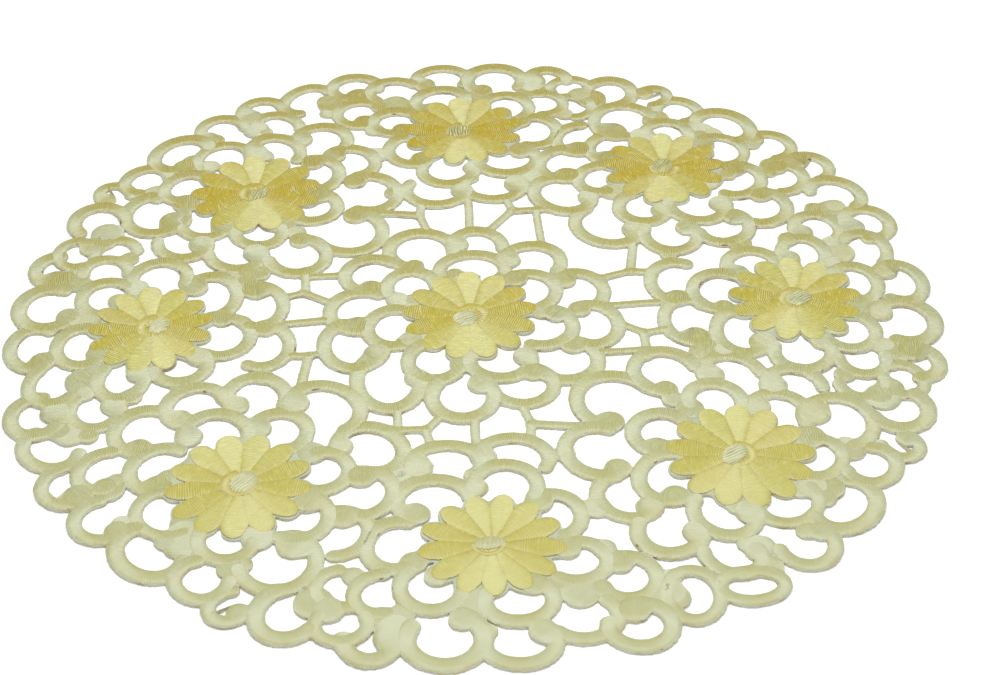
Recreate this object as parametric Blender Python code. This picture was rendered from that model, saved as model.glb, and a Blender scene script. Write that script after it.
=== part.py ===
"""A round lace doily, 400 mm across, lying flat.

It is machine embroidery in one piece. Nine padded daisies, the satin-stitched scrolls round them,
the stitched pads between the scrolls and the thin bars of the net run into each other, and the
gaps between them are open.

The tables chart the repeat: one daisy's surroundings on a diagonal, one's on an axis, and the
middle. They are in millimetres in the mat's own plane. Each daisy is charted with the rim at the
top: x runs sideways and y outward from the middle of the mat. Loops turn the charts round the
mat. The finished solid is in metres, lies on z = 0 and is centred on the origin.
"""
import math
from collections import namedtuple

import bmesh
import bpy
import numpy as np
from mathutils import Vector
from mathutils.geometry import delaunay_2d_cdt

MM = 0.001

# driving sizes, in millimetres
DIAMETER = 400.0
CLOTH_THICKNESS = 1.5
DAISY_RING = 138.2
PETALS = 13
PETAL_MARGIN = 0.9
PETAL_TIP_RADIUS = 5.3
PETAL_ROOT = 6.0
PETAL_RISE = 0.8
EYE_RADIUS = 7.0
EYE_RISE = 0.5
EYE_CROWN_RADIUS = 4.2
EYE_CROWN_POINTS = 6
SMALLEST_GAP = 4.0

# how the stitched shapes are put together, in millimetres
STITCH_STEP = 1.0
MELT = 2.0
GRID = 0.7
CHART_REACH = 206.0
FAR_OFF = 6.0
SLACK = 0.8
SAME_POINT = 0.000001
WHOLE_HULL = 0

PALE_THREAD = (0.66, 0.64, 0.42, 1.0)
THREAD_ROUGHNESS = 0.55

Scroll = namedtuple("Scroll", "x y rx ry start end width knob")
Pad = namedtuple("Pad", "x y radius")
Bar = namedtuple("Bar", "x1 y1 x2 y2 width")
Spoke = namedtuple("Spoke", "x y aim width")
Sector = namedtuple("Sector", "heading daisy_side turn border_turn net_side net_out")
Relief = namedtuple("Relief", "along beside rise margin")
Daisy = namedtuple("Daisy", "x y turn reach_east reach_north")
Stroke = namedtuple("Stroke", "points radii")

# A scroll is a satin-stitched arc of an ellipse that ends in a round knob, drawn in at its end.
# x, y, rx, ry, start and end in degrees, width of the band, radius of the knob
DIAGONAL_BORDER = [
    Scroll(-62.5, 172.5, 11.5, 12.0, -25, 178, 6.8, 0.0),
    Scroll(-44.0, 184.0, 6.9, 7.8, -50, 180, 5.6, 4.6),
    Scroll(-27.0, 181.5, 10.6, 9.3, -35, 215, 6.0, 0.0),
    Scroll(-1.8, 184.5, 14.4, 11.6, -25, 205, 7.0, 0.0),
    Scroll(24.8, 185.3, 10.7, 10.4, -35, 178, 6.0, 4.8),
    Scroll(48.7, 182.3, 10.6, 10.0, -25, 170, 5.8, 6.2),
    Scroll(70.5, 173.0, 12.6, 9.8, -10, 215, 6.2, 0.0),
]
DIAGONAL_SECOND_ROW = [
    Scroll(-41.0, 157.0, 15.0, 14.5, 60, 275, 6.2, 7.2),
    Scroll(-18.5, 162.0, 11.0, 10.2, 0, 215, 6.0, 0.0),
    Scroll(8.5, 166.5, 12.6, 11.8, -45, 165, 5.4, 0.0),
    Scroll(44.5, 167.0, 10.0, 11.4, -50, 140, 6.0, 4.6),
]
DIAGONAL_WREATH = [
    Scroll(29.0, 152.5, 11.5, 12.6, -80, 135, 6.2, 5.8),
    Scroll(26.5, 125.5, 13.5, 12.6, -165, 45, 6.4, 5.6),
    Scroll(9.0, 107.5, 11.4, 11.6, -200, 25, 6.4, 5.6),
    Scroll(-20.0, 112.5, 10.4, 11.2, 125, 325, 6.2, 0.0),
    Scroll(-31.0, 136.0, 11.2, 12.0, 100, 290, 6.2, 5.8),
    Scroll(50.0, 142.0, 12.4, 12.4, -65, 125, 6.4, 5.6),
    Scroll(46.0, 119.0, 11.2, 12.2, -120, 95, 6.2, 5.6),
    Scroll(-48.0, 132.0, 11.2, 12.0, 130, 305, 6.0, 6.0),
]
# The arcs between a diagonal daisy and the middle: even on two sides, drawn deeper on the others.
EVEN_ARCS = [
    Scroll(31.0, 98.5, 12.4, 11.6, -160, 75, 6.4, 5.4),
    Scroll(5.0, 86.5, 15.6, 13.8, 168, 385, 6.4, 6.0),
    Scroll(-25.5, 91.0, 14.0, 12.2, 150, 395, 6.4, 5.0),
    Scroll(-40.0, 111.0, 12.2, 12.5, 140, 315, 6.2, 6.0),
]
DEEP_ARCS = [
    Scroll(33.5, 95.0, 13.2, 14.2, -160, 75, 6.4, 5.4),
    Scroll(6.0, 82.0, 15.2, 16.8, 165, 385, 6.4, 6.0),
    Scroll(-21.5, 86.5, 12.6, 13.7, 150, 395, 6.4, 5.0),
    Scroll(-38.0, 108.5, 11.2, 12.8, 140, 315, 6.2, 6.0),
]
# A pad is a round stitched patch that fills the corner between scrolls: x, y, radius.
DIAGONAL_PADS = [
    Pad(-66.0, 163.0, 7.4), Pad(-31.0, 170.5, 5.6), Pad(-8.0, 175.5, 6.0), Pad(-4.0, 169.5, 6.4),
    Pad(35.0, 173.0, 5.8), Pad(76.0, 164.5, 5.0), Pad(-27.0, 153.5, 6.4), Pad(-37.0, 146.0, 5.0),
    Pad(58.5, 113.5, 5.5), Pad(-9.5, 107.5, 6.0), Pad(-45.0, 94.5, 4.2), Pad(-33.0, 166.5, 3.6),
    Pad(0.5, 167.0, 4.5), Pad(-2.0, 177.0, 4.5), Pad(17.5, 181.5, 4.0), Pad(37.5, 168.0, 3.5),
    Pad(23.5, 153.5, 4.0), Pad(20.5, 142.0, 5.0),
]
DEEP_PADS = [Pad(-41.5, 89.5, 5.0), Pad(-48.5, 97.0, 4.6), Pad(-9.5, 98.5, 4.5)]

AXIS_BORDER = [
    Scroll(-48.5, 181.5, 11.4, 10.2, -10, 280, 6.4, 6.0),
    Scroll(-29.0, 176.0, 12.4, 10.2, 40, 225, 6.0, 0.0),
    Scroll(-5.0, 186.0, 13.0, 10.2, -35, 212, 6.2, 5.6),
    Scroll(21.5, 182.5, 13.6, 12.4, -30, 235, 7.0, 5.2),
    Scroll(48.2, 180.8, 9.6, 9.6, -5, 180, 6.8, 6.0),
    Scroll(58.5, 173.0, 9.4, 8.2, -30, 200, 5.4, 0.0),
]
AXIS_SECOND_ROW = [
    Scroll(-46.5, 158.0, 11.0, 10.4, 50, 285, 6.0, 5.6),
    Scroll(-6.0, 166.0, 12.4, 10.6, -20, 235, 6.2, 5.2),
    Scroll(25.5, 157.5, 11.6, 11.2, -45, 155, 6.0, 0.0),
    Scroll(-29.0, 148.7, 11.4, 9.8, 50, 290, 6.2, 5.4),
    Scroll(43.5, 159.5, 10.4, 9.8, -95, 95, 5.6, 0.0),
    Scroll(57.0, 155.5, 10.8, 9.6, -80, 100, 5.6, 0.0),
]
AXIS_WREATH = [
    Scroll(37.0, 135.5, 12.0, 12.2, -110, 100, 6.2, 0.0),
    Scroll(22.5, 112.8, 14.0, 11.4, -175, 50, 6.4, 5.8),
    Scroll(-5.5, 107.5, 12.4, 12.0, 150, 360, 6.2, 4.4),
    Scroll(-22.0, 124.5, 11.2, 11.4, 110, 300, 6.2, 5.6),
]
# The rim of the nearest sector runs on to the right, in two closed rings and a pad of its own. They
# take the place of the last two scrolls of the diagonal border there.
NEAREST = 270
NEAR_RIGHT = 315
RIGHT_BORDER = [
    Scroll(-69.3, 168.9, 9.8, 11.9, -15, 335, 5.4, 0.0),
    Scroll(-91.5, 165.9, 12.0, 7.3, -15, 335, 5.4, 0.0),
]
RIGHT_PADS = [Pad(-99.5, 157.5, 5.4)]

AXIS_PADS = [
    Pad(-60.5, 167.0, 6.4), Pad(-62.0, 160.0, 4.2), Pad(-28.5, 164.3, 7.4), Pad(-36.5, 163.0, 4.2),
    Pad(10.5, 166.0, 6.6), Pad(40.0, 176.5, 6.4), Pad(36.5, 169.5, 5.0), Pad(44.0, 170.5, 4.4),
    Pad(63.0, 166.0, 6.0), Pad(67.0, 161.0, 5.6), Pad(23.5, 152.5, 4.6), Pad(31.5, 145.0, 5.4),
    Pad(53.5, 149.5, 4.4), Pad(-40.0, 143.5, 4.6), Pad(-21.0, 160.0, 4.0),
]
# The net between an axis daisy and the middle. A spoke runs on inward until it meets the ring.
NET_ARCS = [
    Scroll(-9.5, 92.0, 14.0, 11.8, 150, 350, 6.0, 5.4),
    Scroll(17.0, 93.5, 14.0, 11.0, 160, 365, 6.0, 6.0),
]
NET_PADS = [Pad(-30.0, 91.0, 4.2), Pad(34.5, 98.5, 4.2), Pad(7.0, 100.0, 3.4)]
NET_BARS = [
    Bar(-46.0, 77.0, -18.5, 72.5, 4.2),
    Bar(-17.5, 80.5, -18.5, 72.5, 3.8),
    Bar(22.0, 82.0, 23.8, 73.5, 3.6),
    Bar(23.8, 72.6, 40.0, 72.2, 3.8),
]
NET_SPOKES = [
    Spoke(-18.5, 72.5, -75, 3.6),
    Spoke(4.0, 81.5, -90, 3.8),
    Spoke(23.8, 73.5, -127, 3.6),
    Spoke(35.0, 72.2, -90, 3.6),
]
SPOKE_SHORTEST = 6.0
SPOKE_LONGEST = 30.0
SPOKE_STEP = 0.5
SEWN_IN = 0.5

MIDDLE_WREATH = [
    Scroll(1.0, 29.0, 14.4, 11.4, -10, 195, 6.2, 0.0),
    Scroll(24.0, 12.5, 12.5, 12.4, -60, 115, 6.2, 5.4),
    Scroll(28.0, -12.3, 13.4, 12.6, -115, 50, 6.4, 5.4),
    Scroll(9.0, -32.5, 12.8, 11.6, -205, 10, 6.4, 5.4),
    Scroll(-18.0, -31.0, 11.6, 12.0, 120, 315, 6.4, 0.0),
    Scroll(-34.0, -8.0, 11.8, 12.2, 80, 285, 6.4, 4.0),
    Scroll(-26.0, 18.5, 10.8, 11.6, 5, 195, 6.4, 0.0),
]
MIDDLE_RING = [
    Scroll(-21.0, 45.0, 14.4, 13.2, -10, 255, 6.4, 4.6),
    Scroll(4.0, 46.0, 11.4, 11.4, -10, 165, 6.2, 5.4),
    Scroll(27.5, 32.5, 13.2, 12.2, -35, 165, 6.2, 5.6),
    Scroll(45.5, 10.5, 11.5, 12.6, -35, 125, 6.2, 5.6),
    Scroll(49.0, -12.5, 12.0, 13.4, -115, 110, 6.2, 5.0),
    Scroll(36.5, -35.0, 13.2, 12.6, -135, 70, 6.4, 5.6),
    Scroll(17.0, -49.0, 13.0, 11.6, -155, 60, 6.0, 5.4),
    Scroll(-8.0, -54.0, 12.6, 13.2, 140, 400, 6.4, 5.6),
    Scroll(-37.5, -41.0, 13.4, 18.4, 120, 360, 6.6, 5.2),
    Scroll(-51.5, -18.0, 12.8, 14.8, 110, 330, 6.4, 5.6),
    Scroll(-48.5, 4.0, 13.4, 13.2, 55, 262, 6.2, 6.2),
    Scroll(-43.0, 29.0, 12.0, 11.6, 45, 265, 6.2, 5.4),
]
MIDDLE_PADS = [
    Pad(-7.0, -34.0, 5.2), Pad(-32.5, 10.5, 5.2), Pad(-28.0, -17.0, 5.2), Pad(14.5, 22.0, 5.0),
    Pad(29.0, -2.0, 5.0), Pad(-21.5, -16.0, 3.5), Pad(-26.0, 9.5, 4.0), Pad(-6.8, 26.4, 3.9),
]
MIDDLE_DAISY = (0.0, -2.0, 90.0)

# Where each daisy was really sewn: how far off its charted middle, in the mat's plane, how far
# turned, and how far its petals reach east and north. The first row is the middle daisy's and the
# others follow the sectors.
DAISIES = [
    Daisy(-2.0, -0.5, -2.0, 29.0, 29.5), Daisy(0.5, -0.5, 1.0, 28.5, 28.5),
    Daisy(-1.0, 0.5, -1.5, 28.5, 28.5), Daisy(0.5, 0.5, 1.0, 29.0, 28.5),
    Daisy(3.0, -2.5, 0.0, 30.0, 30.0), Daisy(0.5, -3.5, -3.0, 26.5, 28.5),
    Daisy(-0.5, -0.5, 1.0, 28.5, 28.5), Daisy(0.5, 0.0, -1.0, 28.0, 26.0),
    Daisy(0.0, -1.0, 3.0, 29.5, 29.0),
]

# Where each daisy's surroundings lie and how far they were sewn off the even repeat:
# heading, daisy sideways, turn of its scrolls, further turn of its border, net sideways, net out
SECTORS = [
    Sector(0, 2.4, 0.0, 0.0, -4.0, -2.0),
    Sector(45, -1.3, 0.0, 0.0, 0.0, 0.0),
    Sector(90, 2.4, 0.0, 0.0, -2.0, -1.0),
    Sector(135, -1.3, 0.0, 0.0, 0.0, 0.0),
    Sector(180, 2.4, 1.4, 0.0, -3.5, -1.0),
    Sector(225, -1.3, 0.0, 0.0, 0.0, 0.0),
    Sector(270, 2.4, 0.0, 0.0, 0.0, 0.0),
    Sector(315, -1.3, 0.2, 0.6, 0.0, 0.0),
]
DEEP_HEADINGS = (135, 315)

# Points that pad a petal out: share of its length, share of the way to the next petal, rise, and
# how far the point must be from the cloth's edge
PETAL_RELIEF = [
    Relief(0.33, 0.0, PETAL_RISE, 1.2), Relief(0.58, 0.0, PETAL_RISE, 1.2),
    Relief(0.82, 0.0, PETAL_RISE, 1.2), Relief(0.33, 0.5, 0.0, 0.1), Relief(0.62, 0.5, 0.0, 0.1),
    Relief(1.05, 0.0, 0.0, 1.5),
]

# Cell corners inside the cloth (1 lower left, 2 lower right, 4 upper right, 8 upper left) and the
# cell sides (0 lower, 1 right, 2 upper, 3 left) that the cloth's edge enters and leaves by, with
# the cloth on its left.
EDGE_WALKS = {
    1: [(0, 3)], 2: [(1, 0)], 3: [(1, 3)], 4: [(2, 1)], 5: [(2, 3), (0, 1)], 6: [(2, 0)],
    7: [(2, 3)], 8: [(3, 2)], 9: [(0, 2)], 10: [(3, 0), (1, 2)], 11: [(1, 2)], 12: [(3, 1)],
    13: [(0, 1)], 14: [(3, 0)],
}


def clear_scene():
    for old in list(bpy.data.objects):
        bpy.data.objects.remove(old, do_unlink=True)


def direction(degrees):
    return np.array([math.cos(math.radians(degrees)), math.sin(math.radians(degrees))])


def placed(points, heading, side=0.0, out=0.0):
    """Charted points shifted sideways and outward, then turned from the rim at the top to heading."""
    across = direction(heading - 90)
    outward = direction(heading)
    shifted = points + np.array([side, out])
    return shifted[:, :1] * across + shifted[:, 1:] * outward


def scroll_stroke(row):
    """Discs along a scroll's arc. The knob's outer edge runs on from the band's outer edge."""
    sweep = abs(math.radians(row.end - row.start)) * max(row.rx, row.ry)
    angles = np.radians(np.linspace(row.start, row.end, int(sweep / STITCH_STEP) + 2))
    centre = np.array([row.x, row.y])
    points = centre + np.stack([row.rx * np.cos(angles), row.ry * np.sin(angles)], axis=1)
    radii = np.full(len(points), row.width / 2)
    if row.knob:
        outward = (points[-1] - centre) / np.linalg.norm(points[-1] - centre)
        points = np.vstack([points, points[-1] + outward * (row.width / 2 - row.knob)])
        radii = np.append(radii, row.knob)
    return Stroke(points, radii)


def pad_stroke(row):
    return Stroke(np.array([[row.x, row.y]]), np.array([row.radius]))


def bar_stroke(row):
    count = int(math.hypot(row.x2 - row.x1, row.y2 - row.y1) / STITCH_STEP) + 2
    points = np.linspace((row.x1, row.y1), (row.x2, row.y2), count)
    return Stroke(points, np.full(count, row.width / 2))


def inside_any(strokes, point, margin):
    return any(np.any(np.hypot(*(stroke.points - point).T) < stroke.radii - margin)
               for stroke in strokes)


def spoke_stroke(row, ring, heading, side, out):
    """A thin bar that runs from the net along its aim until it is sewn into the ring."""
    start = np.array([row.x, row.y])
    for length in np.arange(SPOKE_SHORTEST, SPOKE_LONGEST, SPOKE_STEP):
        end = start + direction(row.aim) * length
        if inside_any(ring, placed(end[None], heading, side, out)[0], SEWN_IN):
            break
    return bar_stroke(Bar(*start, *end, row.width))


def middle_strokes():
    scrolls = [scroll_stroke(row) for row in MIDDLE_WREATH + MIDDLE_RING]
    return scrolls + [pad_stroke(row) for row in MIDDLE_PADS]


def sector_strokes(sector, ring):
    """The border, second row, wreath, pads and net round one daisy, in the mat's plane."""
    if sector.heading % 90:
        deep = sector.heading in DEEP_HEADINGS
        border, inner = DIAGONAL_BORDER, DIAGONAL_SECOND_ROW + DIAGONAL_WREATH
        inner = inner + (DEEP_ARCS if deep else EVEN_ARCS)
        pads = DIAGONAL_PADS + (DEEP_PADS if deep else [])
        if sector.heading == NEAR_RIGHT:
            border = DIAGONAL_BORDER[:-2]
        net = []
    else:
        border, inner, pads = AXIS_BORDER, AXIS_SECOND_ROW + AXIS_WREATH, AXIS_PADS
        if sector.heading == NEAREST:
            border, pads = AXIS_BORDER + RIGHT_BORDER, AXIS_PADS + RIGHT_PADS
        net = [scroll_stroke(row) for row in NET_ARCS] + [pad_stroke(row) for row in NET_PADS]
        net += [bar_stroke(row) for row in NET_BARS]
        lean = (sector.heading + sector.turn, sector.net_side, sector.net_out)
        net += [spoke_stroke(row, ring, *lean) for row in NET_SPOKES]
        net = [Stroke(placed(stroke.points, *lean), stroke.radii) for stroke in net]
    heading = sector.heading + sector.turn
    border = [scroll_stroke(row) for row in border]
    inner = [scroll_stroke(row) for row in inner] + [pad_stroke(row) for row in pads]
    border = [Stroke(placed(s.points, heading + sector.border_turn), s.radii) for s in border]
    inner = [Stroke(placed(s.points, heading), s.radii) for s in inner]
    return border + inner + net


def daisies():
    """x, y and the direction of the first petal of each daisy as sewn, then its row in DAISIES."""
    found = [MIDDLE_DAISY]
    for sector in SECTORS:
        x, y = placed(np.array([[sector.daisy_side, DAISY_RING]]), sector.heading)[0]
        first_petal = sector.heading + (180.0 / PETALS if sector.heading % 90 else 0.0)
        found.append((x, y, first_petal))
    return [(x + row.x, y + row.y, first_petal + row.turn, row)
            for (x, y, first_petal), row in zip(found, DAISIES)]


def petal_directions(first_petal):
    return [first_petal + 360.0 * i / PETALS for i in range(PETALS)]


def petal_length(aim, row):
    """How far a petal and the cloth round it reach from the daisy's middle, in its direction."""
    return math.hypot(row.reach_east * aim[0], row.reach_north * aim[1]) + PETAL_MARGIN


def daisy_strokes(x, y, first_petal, row):
    centre = np.array([x, y])
    strokes = [Stroke(centre[None], np.array([EYE_RADIUS]))]
    for angle in petal_directions(first_petal):
        aim = direction(angle)
        last = petal_length(aim, row) - PETAL_TIP_RADIUS
        reach = np.arange(PETAL_ROOT, last, STITCH_STEP)
        radii = np.minimum(reach * math.sin(math.pi / PETALS), PETAL_TIP_RADIUS)
        strokes.append(Stroke(centre + reach[:, None] * aim, radii))
    return strokes


def stitched_field(strokes):
    """Signed distance to the cloth's edge on a square grid, below zero on the cloth.

    Shapes that meet are blended over MELT, as thread fills the corner between two scrolls.
    """
    axis = np.arange(-CHART_REACH, CHART_REACH, GRID)
    field = np.full((axis.size, axis.size), FAR_OFF)
    for stroke in strokes:
        reach = stroke.radii.max() + FAR_OFF
        low = np.searchsorted(axis, stroke.points.min(axis=0) - reach)
        high = np.searchsorted(axis, stroke.points.max(axis=0) + reach)
        x = axis[low[0]:high[0]][None, :]
        y = axis[low[1]:high[1]][:, None]
        near = np.full((y.size, x.size), 2 * FAR_OFF)
        for (px, py), radius in zip(stroke.points, stroke.radii):
            near = np.minimum(near, np.hypot(x - px, y - py) - radius)
        window = field[low[1]:high[1], low[0]:high[0]]
        blend = np.clip(0.5 + 0.5 * (window - near) / MELT, 0.0, 1.0)
        window[...] = near * blend + window * (1 - blend) - MELT * blend * (1 - blend)
    return axis, field


def cloth_edges(axis, field):
    """Walks the zero line of the field and gives it as closed loops, the cloth on their left."""
    inside = (field < 0).astype(int)
    corners = inside[:-1, :-1] + 2 * inside[:-1, 1:] + 4 * inside[1:, 1:] + 8 * inside[1:, :-1]
    following = {}
    for j, i in np.argwhere((corners > 0) & (corners < 15)):
        sides = [(j, i, j, i + 1), (j, i + 1, j + 1, i + 1), (j + 1, i, j + 1, i + 1), (j, i, j + 1, i)]
        for enters, leaves in EDGE_WALKS[int(corners[j, i])]:
            following[sides[enters]] = sides[leaves]
    loops = []
    while following:
        side = next(iter(following))
        points = []
        while side in following:
            j1, i1, j2, i2 = side
            share = field[j1, i1] / (field[j1, i1] - field[j2, i2])
            points.append((axis[i1] + (axis[i2] - axis[i1]) * share,
                           axis[j1] + (axis[j2] - axis[j1]) * share))
            side = following.pop(side)
        loops.append(np.array(points))
    return loops


def enclosed_area(loop):
    x, y = loop[:, 0], loop[:, 1]
    return 0.5 * float(np.sum(x * np.roll(y, -1) - y * np.roll(x, -1)))


def gap_width(loop):
    """A gap's width: four times its area over the length of its edge, as for a round hole."""
    edge = np.sum(np.hypot(*(loop - np.roll(loop, -1, axis=0)).T))
    return 4 * abs(enclosed_area(loop)) / edge


def thinned(loop):
    """Leaves out the points that lie within SLACK of the line between those that stay."""
    far = int(np.argmax(np.hypot(*(loop - loop[0]).T)))
    ring = np.vstack([loop, loop[:1]])
    kept = {0, far}
    spans = [(0, far), (far, len(loop))]
    while spans:
        first, last = spans.pop()
        if last - first < 2:
            continue
        chord = ring[last] - ring[first]
        between = ring[first + 1:last] - ring[first]
        off = np.abs(chord[0] * between[:, 1] - chord[1] * between[:, 0]) / np.hypot(*chord)
        widest = int(np.argmax(off))
        if off[widest] > SLACK:
            middle = first + 1 + widest
            kept.add(middle)
            spans += [(first, middle), (middle, last)]
    return loop[sorted(kept)]


def lace_loops(axis, field):
    """The rim first, then every gap that is cut through. Loose scraps and specks are left out."""
    loops = cloth_edges(axis, field)
    rim = max(loops, key=enclosed_area)
    gaps = [loop for loop in loops if enclosed_area(loop) < 0 and gap_width(loop) > SMALLEST_GAP]
    return [thinned(loop) for loop in [rim] + gaps]


def relief_points(axis, field):
    """x, y and rise of the points that pad out the petals and the eye of each daisy."""
    crown = [360.0 * i / EYE_CROWN_POINTS for i in range(EYE_CROWN_POINTS)]
    wanted = []
    for x, y, first_petal, daisy in daisies():
        centre = np.array([x, y])
        for angle in petal_directions(first_petal):
            for row in PETAL_RELIEF:
                aim = direction(angle + row.beside * 360.0 / PETALS)
                place = centre + aim * row.along * petal_length(aim, daisy)
                wanted.append((*place, row.rise, row.margin))
        for angle in crown:
            wanted.append((*(centre + direction(angle) * EYE_CROWN_RADIUS), EYE_RISE, 0.0))
    found = []
    for x, y, rise, margin in wanted:
        i, j = np.searchsorted(axis, (x, y))
        if field[j - 1:j + 1, i - 1:i + 1].max() < -margin:
            found.append((x, y, rise))
    return found


def on_cloth(points, edges, places):
    """For each place, whether a line from it to the right crosses an odd number of edges."""
    starts = points[edges[:, 0]]
    ends = points[edges[:, 1]]
    rises = np.where(ends[:, 1] == starts[:, 1], np.inf, ends[:, 1] - starts[:, 1])
    x, y = places[:, :1], places[:, 1:]
    spans = (starts[:, 1] > y) != (ends[:, 1] > y)
    crossing = starts[:, 0] + (y - starts[:, 1]) * (ends[:, 0] - starts[:, 0]) / rises
    return np.sum(spans & (crossing > x), axis=1) % 2 == 1


def triangles(points, edges):
    """Triangles of the flat cloth between the loops, as rows of point numbers."""
    flat = [Vector(point) for point in points]
    result = delaunay_2d_cdt(flat, edges, [], WHOLE_HULL, SAME_POINT, True)
    if len(result[0]) != len(points):
        raise ValueError("two edges of the cloth cross")
    number = np.array([origin[0] for origin in result[3]])
    faces = number[np.array(result[2])]
    points = np.array(points)
    kept = on_cloth(points, np.array(edges), points[faces].mean(axis=1))
    return faces[kept].tolist()


def lace_mesh(loops, relief):
    """One closed plate: a flat underside, walls round every loop and a top with the relief."""
    rim_points = [tuple(point) for loop in loops for point in loop]
    edges = []
    first = 0
    for loop in loops:
        count = len(loop)
        edges += [(first + i, first + (i + 1) % count) for i in range(count)]
        first += count
    plate = bmesh.new()
    shift = (np.max(loops[0], axis=0) + np.min(loops[0], axis=0)) / 2
    scale = DIAMETER / float(np.max(np.ptp(loops[0], axis=0)))

    def corner(x, y, z):
        return plate.verts.new(((x - shift[0]) * scale * MM, (y - shift[1]) * scale * MM, z * MM))

    under = [corner(x, y, 0.0) for x, y in rim_points]
    over = [corner(x, y, CLOTH_THICKNESS) for x, y in rim_points]
    over += [corner(x, y, CLOTH_THICKNESS + rise) for x, y, rise in relief]
    for a, b, c in triangles(rim_points, edges):
        plate.faces.new((under[c], under[b], under[a]))
    for a, b, c in triangles(rim_points + [(x, y) for x, y, rise in relief], edges):
        plate.faces.new((over[a], over[b], over[c]))
    for a, b in edges:
        plate.faces.new((under[a], under[b], over[b], over[a]))
    bmesh.ops.triangulate(plate, faces=[face for face in plate.faces if len(face.verts) > 3])
    mesh = bpy.data.meshes.new("doily_lace")
    plate.to_mesh(mesh)
    plate.free()
    return mesh


def thread_material():
    material = bpy.data.materials.new("cream_rayon_thread")
    material.use_nodes = True
    shader = material.node_tree.nodes["Principled BSDF"]
    shader.inputs["Base Color"].default_value = PALE_THREAD
    shader.inputs["Roughness"].default_value = THREAD_ROUGHNESS
    shader.inputs["Metallic"].default_value = 0.0
    return material


def all_strokes():
    ring = middle_strokes()
    strokes = list(ring)
    for sector in SECTORS:
        strokes += sector_strokes(sector, ring)
    for daisy in daisies():
        strokes += daisy_strokes(*daisy)
    return strokes


def make_doily():
    axis, field = stitched_field(all_strokes())
    mesh = lace_mesh(lace_loops(axis, field), relief_points(axis, field))
    mesh.materials.append(thread_material())
    doily = bpy.data.objects.new("doily_lace", mesh)
    bpy.context.scene.collection.objects.link(doily)
    return doily


clear_scene()
make_doily()
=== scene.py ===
"""The looks of a round lace doily, 400 mm across, lying flat on a pale table.

It is machine embroidery in one piece: satin-stitched scrolls, stitched pads, thin bars and nine
padded daisies on a thin ground cloth, with the gaps between them cut out by heat.

The tables chart the repeat, as in the solid: one daisy's surroundings on a diagonal, one's on an
axis, and the middle, with rows of its own for one stretch of the rim. They are in millimetres in
the mat's own plane. Each daisy is charted with the rim at the top: x runs sideways and y outward
from the middle of the mat. Heights are in millimetres above the table. Every mesh is in metres, in
the frame's own place.
"""
import math
from collections import namedtuple

import bpy
import numpy as np
from mathutils import Matrix, Vector
from mathutils.geometry import delaunay_2d_cdt


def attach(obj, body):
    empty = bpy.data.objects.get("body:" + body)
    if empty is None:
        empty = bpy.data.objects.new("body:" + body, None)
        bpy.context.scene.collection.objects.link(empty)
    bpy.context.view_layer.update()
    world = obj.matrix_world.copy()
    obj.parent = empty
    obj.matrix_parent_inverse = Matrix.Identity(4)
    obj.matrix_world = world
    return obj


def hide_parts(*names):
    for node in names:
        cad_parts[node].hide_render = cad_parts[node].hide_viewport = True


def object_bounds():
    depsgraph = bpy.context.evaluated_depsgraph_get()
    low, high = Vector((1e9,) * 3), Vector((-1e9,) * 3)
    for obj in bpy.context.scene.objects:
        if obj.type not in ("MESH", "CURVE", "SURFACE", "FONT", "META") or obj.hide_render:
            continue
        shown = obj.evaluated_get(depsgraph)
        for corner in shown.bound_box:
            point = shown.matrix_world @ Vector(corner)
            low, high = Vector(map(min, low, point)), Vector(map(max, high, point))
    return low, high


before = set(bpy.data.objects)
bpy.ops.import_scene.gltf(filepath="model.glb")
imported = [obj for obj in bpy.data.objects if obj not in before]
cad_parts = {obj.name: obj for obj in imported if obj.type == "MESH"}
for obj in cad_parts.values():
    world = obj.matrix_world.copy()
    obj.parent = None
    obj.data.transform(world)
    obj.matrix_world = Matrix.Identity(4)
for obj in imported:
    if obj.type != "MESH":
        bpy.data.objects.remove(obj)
cad_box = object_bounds()

MM = 0.001

# the chart, in millimetres
DAISY_RING = 138.2
PETALS = 13
PETAL_TIP_RADIUS = 5.3
PETAL_ROOT = 6.0
PETAL_SPREAD = 1.12
EYE_RADIUS = 7.0
STITCH_STEP = 1.0
MELT = 2.0
GRID = 0.5
CHART_REACH = 206.0
FAR_OFF = 6.0
SAME_POINT = 0.000001
WHOLE_HULL = 0

# the ground cloth, in millimetres
GROUND_UNDER = 0.12
GROUND_TOP = 1.1
TUCK = 0.25
SLACK = 0.06
SMALLEST_GAP = 2.6

# the stitched shapes, in millimetres: wall up to the first thread, then a low rounded crown
WALL = 0.75
SATIN_ROOT = 1.2
SATIN_TIP_EAST = 9.6
SATIN_TIP_NORTH = 7.8
PETAL_MARGIN = 0.9
SATIN_SPREAD = 1.05
UNION_ROUNDING = 2.4
MERGED = 0.68
STATION = 0.8
FINE_STATION = 0.3
ACROSS = 11
FIRST_CAP_ANGLE = 8.0
CAP_STATIONS = 6
LAYER_STEP = 0.035
LAYERS = 5

# unevenness of real stitching and of cloth that lies by its own weight, in millimetres
WOBBLE = 0.28
WOBBLE_LONG = 9.0
WOBBLE_SHORT = 5.5
LIFT = 0.35
LIFT_LENGTH = 13.0

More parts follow.
